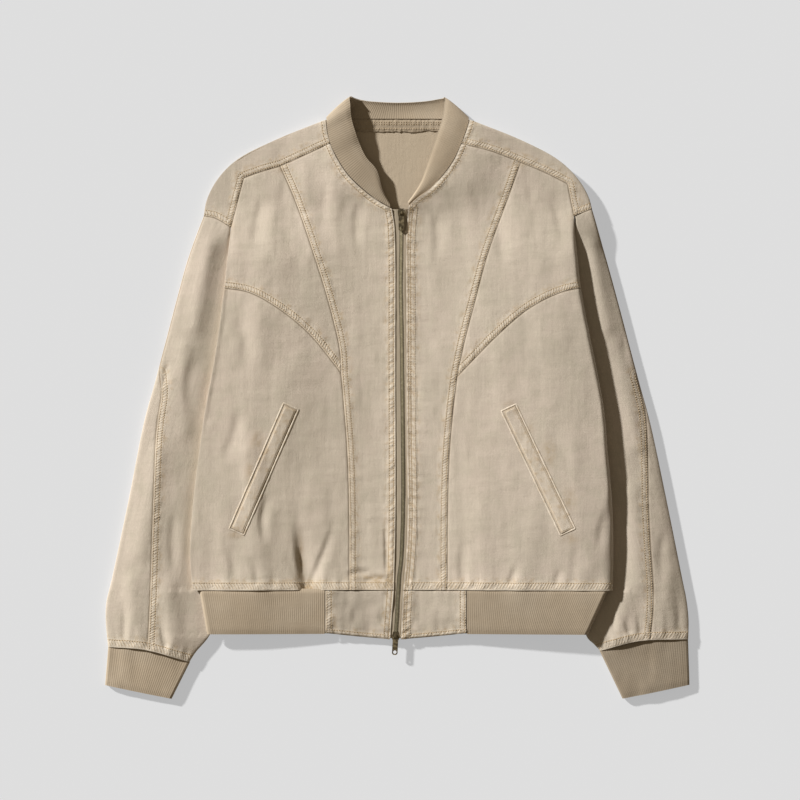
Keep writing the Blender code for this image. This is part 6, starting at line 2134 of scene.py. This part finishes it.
    def collar(self) -> None:
        """Rib collar: two front strips, folded beside the neck, and the back strip."""
        ring = np.array(self.COLLAR_LEFT + [self.COLLAR_BACK] + self.COLLAR_RIGHT[::-1])
        steps = np.linalg.norm(np.diff(ring, axis=0), axis=1) / math.sqrt(2)
        knots = np.concatenate([[0.0], np.cumsum(steps)])
        count = int(knots[-1] / (RIB_PITCH / 4))
        smooth = self._through(knots, ring, np.linspace(0, knots[-1], count))
        base, top = smooth[:, :3], smooth[:, 3:].copy()
        base[:, 2] = np.maximum(base[:, 2], 1.6)
        places = np.linspace(0, knots[-1], count)
        first, last = knots[list(self.LEAN_KNOTS)]
        raised = 1 - ease((places - first) / (last - first))
        lean = self.LEAN[0] + (self.LEAN[1] - self.LEAN[0]) * raised
        top[:, 2] = base[:, 2] + lean * (top[:, 2] - base[:, 2])
        v = np.linspace(0, 1, self.collar_rows)[:, None, None]
        grid = base + v * (top - base)
        normals = -grid_normals(grid, False)
        crown = 0.9 * np.sin(np.pi * np.clip(v, 0, 1)) - 0.7 * bump(v - 1.0, 0.09)
        grid = grid + normals * crown
        run = running(grid[self.collar_rows // 2])
        shell = Shell("collar_knit", grid, RIB_WALL, -1)
        right = ease((grid[..., 0] + 20) / 40)
        # painted shade and light: darker on the left, which tilts towards the light, and on the
        # right's lit upper edge; paler on the right below that edge
        edge = ease((v[..., 0] - 0.93) / 0.07)
        shell.unfaded = self.COLLAR_PAINTED_SHADE + right * (0.22 * edge - 0.16)
        shell.laid(run[None, :], self.COLLAR_WIDTH * v[..., 0])
        piece = self.wales.applied(shell.build(self.wardrobe.rib))
        declare(piece, shell, Cloth("collar_rib", (float(run[-1]), 36), ["back_panel"],
                                    "rib_knit"))

    @staticmethod
    def _through(knots: Array, values: Array, goal: Array) -> Array:
        """Smooth values through knots, one cubic between each two."""
        slopes = np.gradient(values, knots, axis=0)
        i = np.clip(np.searchsorted(knots, goal) - 1, 0, len(knots) - 2)
        h = (knots[i + 1] - knots[i])[:, None]
        t = ((goal - knots[i]) / h[:, 0])[:, None]
        return ((2 * t**3 - 3 * t**2 + 1) * values[i] + (t**3 - 2 * t**2 + t) * h * slopes[i]
                + (3 * t**2 - 2 * t**3) * values[i + 1] + (t**3 - t**2) * h * slopes[i + 1])


@dataclass
class NeckAllowance:
    """Fuzzy overlocked seam allowance below the collar, inside the back."""

    wardrobe: Wardrobe
    stitches: StitchLines
    half_width: float = 74.0
    depth: float = 14.0
    wall: float = 1.0
    rows: tuple[float, ...] = (-2.4, -5.0, -10.5)

    def build(self) -> None:
        """Make the strip on the back's inner face with a ragged lower edge."""
        x = np.linspace(-self.half_width, self.half_width, 240)
        ragged = 0.8 * Grain(21, 3.0, 9.0).at(x, 0 * x) + 0.9 * Grain(22, 9.0, 9.0).at(x, 0 * x)
        low = NECK_SEAM_Y - self.depth + ragged + 2.2 * (x / self.half_width) ** 2
        v = np.linspace(0, 1, 12)[:, None]
        y = low + v * (NECK_SEAM_Y + 4.0 - low)
        xx = x[None, :] + 0 * y
        lift = CANVAS_WALL + 0.5 + self.wall + 0.24 * Grain(23, 2.2, 3.0).at(xx, y)
        z = lift + 0.4 * bump(v - 0.62, 0.2) - 0.5 * bump(v, 0.10) - 0.8 * ease((v - 0.8) / 0.2)
        shell = Shell("neck_allowance", np.stack([xx, y, z], axis=-1), self.wall, 1)
        shell.unfaded = 0.05
        shell.laid(0 * xx, y)
        piece = shell.build(self.wardrobe.rib)
        surface = shell.surface()
        line = straight((-self.half_width, NECK_SEAM_Y), (self.half_width, NECK_SEAM_Y))
        for gap in self.rows:
            self.stitches.offset(line, gap, surface)
        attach(piece, BODY)
        (self.depth + 2) * MM
        log.info("neck_allowance: %d faces", len(piece.data.polygons))


# ------------------------------------------------------------------ pockets
@dataclass
class PocketWelt:
    """A slanted welt with narrow stitched lips round it."""

    wardrobe: Wardrobe
    stitches: StitchLines
    panels: BodyPanels
    width: float = 17.0
    lip: float = 2.3
    wall: float = 1.3
    proud: float = 0.72       # how far the welt stands over the panel

    SHADE_AND_TONE = {-1: 0.02, 1: 0.09}
    STEP = 2.4
    END_STEPS = (0.0, 0.5, 1.2, 2.2)
    COLUMNS = (-1, -0.965, -0.9, -0.8, -0.55, -0.3, 0, 0.3, 0.55, 0.8, 0.9, 0.965, 1)
    LIP_CLEAR = 0.35          # between the welt and its lips, at the sides
    LIP_PAST = 1.4            # how far the lips go past the welt's ends
    LIP_STEP = 1.5
    LIP_TURNS = 10            # points round a lip
    LIP_LIFT = 0.12
    LIP_HALF_HEIGHT = 0.38
    LIP_SEAM = (6.6, 6.0)     # the distance and the band that make the lips pale

    def build(self, cut: SideCut) -> None:
        """Make the strip and its lips on the side panel."""
        surface = self.panels.surfaces[f"front_side_{cut.side}"]
        upper, lower = (np.array(p, dtype=float) for p in cut.welt)
        length = float(np.linalg.norm(lower - upper))
        along = (lower - upper) / length
        across = np.array([-along[1], along[0]]) * -cut.sign
        t = stations(np.array([length]), self.END_STEPS, self.END_STEPS, self.STEP)[0]
        s = np.array(self.COLUMNS) * self.width / 2
        plan = upper + t[:, None, None] * along + s[None, :, None] * across
        base = self._drop(surface, plan)
        ends = np.minimum(t, length - t)[:, None]
        gap = np.minimum(self.width / 2 - np.abs(s)[None, :], ends)
        swell = self.proud - 0.55 * bump(gap, 0.9) + 0.25 * Grain(31, 9, 20).at(*plan.T).T
        swell = swell + 0.35 * (1 - ease(ends / 8.0))
        shell = Shell(f"pocket_welt_cloth_{cut.side}", at_height(plan, base + swell), self.wall,
                      cut.sign, even=True)
        shell.unfaded = self.SHADE_AND_TONE[cut.sign]
        half = across * self.width / 2
        edges = [straight(upper + half, lower + half), straight(upper - half, lower - half),
                 straight(upper - half, upper + half), straight(lower - half, lower + half)]
        x, y = plan[..., 0], plan[..., 1]
        shell.sewn(seam_field(plan, [Seam(edge, Sewing.WELT) for edge in edges]))
        shell.attribute("marked", marked(x, y)).laid(x, y)
        piece = shell.build(self.wardrobe.canvas)
        lips = self._lips(cut, surface, upper, lower, along, across)
        declare(piece, shell,
                Cloth(f"pocket_welt_{cut.side}", (20, 178), [f"front_side_{cut.side}"]))

    @staticmethod
    def _drop(surface: BVHTree, plan: Array) -> Array:
        """Heights of the panel under plan points."""
        found = [dropped(surface, x, y) or 8.0 for x, y in plan.reshape(-1, 2)]
        return np.array(found).reshape(plan.shape[:-1])

    def _lips(self, cut: SideCut, surface: BVHTree, upper: Array, lower: Array, along: Array,
              across: Array) -> bpy.types.Object:
        """Narrow rolled lip all round the welt."""
        end = along * self.LIP_PAST
        half = across * (self.width / 2 + self.lip / 2 + self.LIP_CLEAR)
        corner = [upper - end - half, lower + end - half, lower + end + half, upper - end + half]
        path = []
        for a, b in zip(corner, corner[1:] + corner[:1]):
            count = max(int(np.linalg.norm(b - a) / self.LIP_STEP), 2)
            path += [a + (b - a) * i / count for i in range(count)]
        path = np.array(path)
        ahead = np.roll(path, -1, axis=0) - np.roll(path, 1, axis=0)
        ahead /= np.linalg.norm(ahead, axis=1, keepdims=True)
        side = np.stack([-ahead[:, 1], ahead[:, 0]], axis=-1)
        base = self._drop(surface, path)
        angle = np.linspace(0, 2 * np.pi, self.LIP_TURNS, endpoint=False)
        places = np.arange(len(path)) * self.LIP_STEP
        uneven = 1 + 0.16 * Grain(33, 5.0, 5.0).at(places, 0 * base)
        reach = (self.lip / 2 * np.cos(angle))[None, :] * uneven[:, None]
        plan = path[:, None] + side[:, None] * reach[..., None]
        high = self.LIP_HALF_HEIGHT * np.sin(angle)[None, :] * uneven[:, None]
        grid = at_height(plan, base[:, None] + self.LIP_LIFT + high)
        n, m = grid.shape[:2]
        i, j = np.meshgrid(np.arange(n), np.arange(m), indexing="ij")
        i2, j2 = (i + 1) % n, (j + 1) % m
        faces = np.stack([i * m + j, i2 * m + j, i2 * m + j2, i * m + j2], axis=-1).reshape(-1, 4)
        verts = grid.reshape(-1, 3) * MM
        mesh = mesh_from(f"pocket_lips_{cut.side}", verts, faces)
        self._face_out(mesh)
        seam = np.broadcast_to(self.LIP_SEAM, (n * m, 2))
        store(mesh, "seam", np.column_stack([np.arange(n * m) * 0.15, seam]))
        store(mesh, "lay", verts)
        piece = make_object(mesh.name, mesh, self.wardrobe.canvas)
        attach(piece, BODY)
        return piece

    @staticmethod
    def _face_out(mesh: bpy.types.Mesh) -> None:
        """Turn every face outwards."""
        build = bmesh.new()
        build.from_mesh(mesh)
        bmesh.ops.recalc_face_normals(build, faces=build.faces)
        build.to_mesh(mesh)
        build.free()


# ------------------------------------------------------------------ zip
@dataclass
class Zip:
    """Tapes, the two rows of teeth, and the dress of the sliders and pulls."""

    wardrobe: Wardrobe
    slider_half: float = 5.75
    top_slider_y: float = 231.1
    bottom_slider_y: float = -298.4
    slider_clear: float = 0.3

    TAPE_ENDS = (236.0, -301.0)
    TAPE_COLUMNS = (12.0 + ZIP_HALF, 9.0, 6.0, 4.2, 3.3, 2.6, ZIP_HALF + 0.2)

    def build(self) -> None:
        """Every part of the zip."""
        for cut in CUTS.values():
            self.tape(cut)
        self.teeth()
        for node in ("zip_slider_top", "zip_slider_bottom", "zip_pull_top", "zip_pull_bottom"):
            self.polished(node)

    def tape(self, cut: SideCut) -> None:
        """Woven tape on one side of the teeth."""
        y = np.linspace(*self.TAPE_ENDS, 180)[:, None]
        x = ZIP_LINE.x_at(y) + cut.sign * np.array(self.TAPE_COLUMNS)[None]
        yy = y + 0 * x
        z = LIE.tape(x, yy) + 0.12 * LIE.FINE.at(x * 2, yy)
        shell = Shell(f"zip_tape_cloth_{cut.side}", np.stack([x, yy, z], axis=-1), TAPE_WALL,
                      cut.sign)
        piece = shell.build(self.wardrobe.tape)
        declare(piece, shell, Cloth(f"zip_tape_{cut.side}", (14, 540), ["back_panel"],
                                    "zip_tape"))

    def teeth(self) -> None:
        """Both rows of teeth, meshed, in one piece that stands for the chain."""
        past = self.slider_half + self.slider_clear
        low, high = self.bottom_slider_y + past, self.top_slider_y - past
        form = TeethForm(self.wardrobe.chain)
        halves = []
        for sign, shift in ((-1, 0.0), (1, TOOTH_PITCH / 2)):
            y = np.arange(low + shift, high, 3.0)
            x = ZIP_LINE.x_at(y)
            z = LIE.tape(x, y) - TAPE_WALL / 2 + 0.1
            row = line_object("teeth", [np.stack([x, y, z], axis=-1)])
            halves.append(form.applied(row, Side=float(sign)))
        piece = self._joined("zip_teeth", halves)
        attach(piece, BODY)
        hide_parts("zip_chain")
        log.info("zip_teeth: %d faces", len(piece.data.polygons))

    def _joined(self, name: str, parts: list[bpy.types.Object]) -> bpy.types.Object:
        """Several plain meshes as one object."""
        verts, faces, start = [], [], 0
        for part in parts:
            verts += [v.co.copy() for v in part.data.vertices]
            faces += [[start + i for i in p.vertices] for p in part.data.polygons]
            start = len(verts)
        mesh = bpy.data.meshes.new(name)
        mesh.from_pydata(verts, [], faces)
        for part in parts:
            bpy.data.objects.remove(part, do_unlink=True)
        return make_object(name, mesh, self.wardrobe.chain)

    def polished(self, node: str) -> None:
        """A slider or pull keeps its solid and gets the brass."""
        piece = bpy.data.objects[node]
        for slot in piece.material_slots:
            slot.material = self.wardrobe.brass


# ------------------------------------------------------------------ studio
@dataclass
class Studio:
    """Floor, hard low light from the upper left, soft fill and the camera overhead.

    Attributes:
        centre: Plan point under the camera, in metres.
        level: Height at which the picture's width is measured.
        picture: Width of the picture there.
        lens: Focal length in millimetres.
        sensor: Width of the sensor.
        sun_height: Angle of the light over the floor, in degrees.
        sun_heading: Where the light goes, in degrees from +X.
        sun_size: Angle across the light, which softens the shadows' edges.
        sun: Strength of the light.
        fill: Strength of the even light from all round.
        fill_colour: Its colour.
        floor_half: Half the width of the floor, in metres.
        floor_low: How far the floor lies below the jacket.
    """

    centre: tuple[float, float] = (0.0034, -0.00275)
    level: float = 0.012
    picture: float = 1.0
    lens: float = 100.0
    sensor: float = 36.0
    sun_height: float = 20.5
    sun_heading: float = -36.8
    sun_size: float = 3.0
    sun: float = 7.2
    fill: float = 0.20
    fill_colour: Colour = (1.0, 0.85, 0.64)
    floor_half: float = 20.0
    floor_low: float = 0.0002

    def build(self) -> None:
        """Floor, light and camera."""
        self.floor()
        self.light()
        self.camera()
        bpy.context.scene.view_settings.view_transform = "Standard"

    def floor(self) -> None:
        """Pale paper under the jacket."""
        half, z = self.floor_half, -self.floor_low
        verts = np.array([(-half, -half, z), (half, -half, z), (half, half, z), (-half, half, z)])
        mesh = mesh_from("studio_floor", verts, np.array([[0, 1, 2, 3]]))
        make_object("studio_floor", mesh, FloorFinish().material())

    def light(self) -> None:
        """Sun and the even fill of the world."""
        height, heading = math.radians(self.sun_height), math.radians(self.sun_heading)
        run = Vector((math.cos(heading) * math.cos(height), math.sin(heading) * math.cos(height),
                      -math.sin(height)))
        lamp = bpy.data.lights.new("key", "SUN")
        lamp.energy = self.sun
        lamp.angle = math.radians(self.sun_size)
        key = linked("key", lamp)
        key.rotation_mode = "QUATERNION"
        key.rotation_quaternion = run.to_track_quat("-Z", "Y")
        world = bpy.data.worlds.new("fill")
        world.use_nodes = True
        back = world.node_tree.nodes["Background"]
        back.inputs["Color"].default_value = (*self.fill_colour, 1.0)
        back.inputs["Strength"].default_value = self.fill
        bpy.context.scene.world = world

    def camera(self) -> None:
        """Camera straight above, its frame's top towards the collar."""
        lens = bpy.data.cameras.new("camera")
        lens.lens = self.lens
        lens.sensor_width = self.sensor
        lens.clip_end = 100.0
        eye = linked("camera", lens)
        eye.location = (*self.centre, self.level + self.picture * self.lens / self.sensor)
        bpy.context.scene.camera = eye


def main() -> None:
    """Build and dress the jacket."""
    logging.basicConfig(level=logging.INFO, format="%(name)s %(message)s")
    Studio().build()
    wardrobe = Wardrobe()
    stitches = StitchLines(wardrobe)
    wales = WaleForm(wardrobe.rib)
    panels = BodyPanels(wardrobe, stitches)
    panels.build()
    Sleeves(wardrobe, stitches, wales).build()
    Ribs(wardrobe, stitches, wales).build()
    NeckAllowance(wardrobe, stitches).build()
    for cut in CUTS.values():
        PocketWelt(wardrobe, stitches, panels).build(cut)
    Zip(wardrobe).build()
    stitches.build("topstitching")


if __name__ == "__main__":
    main()
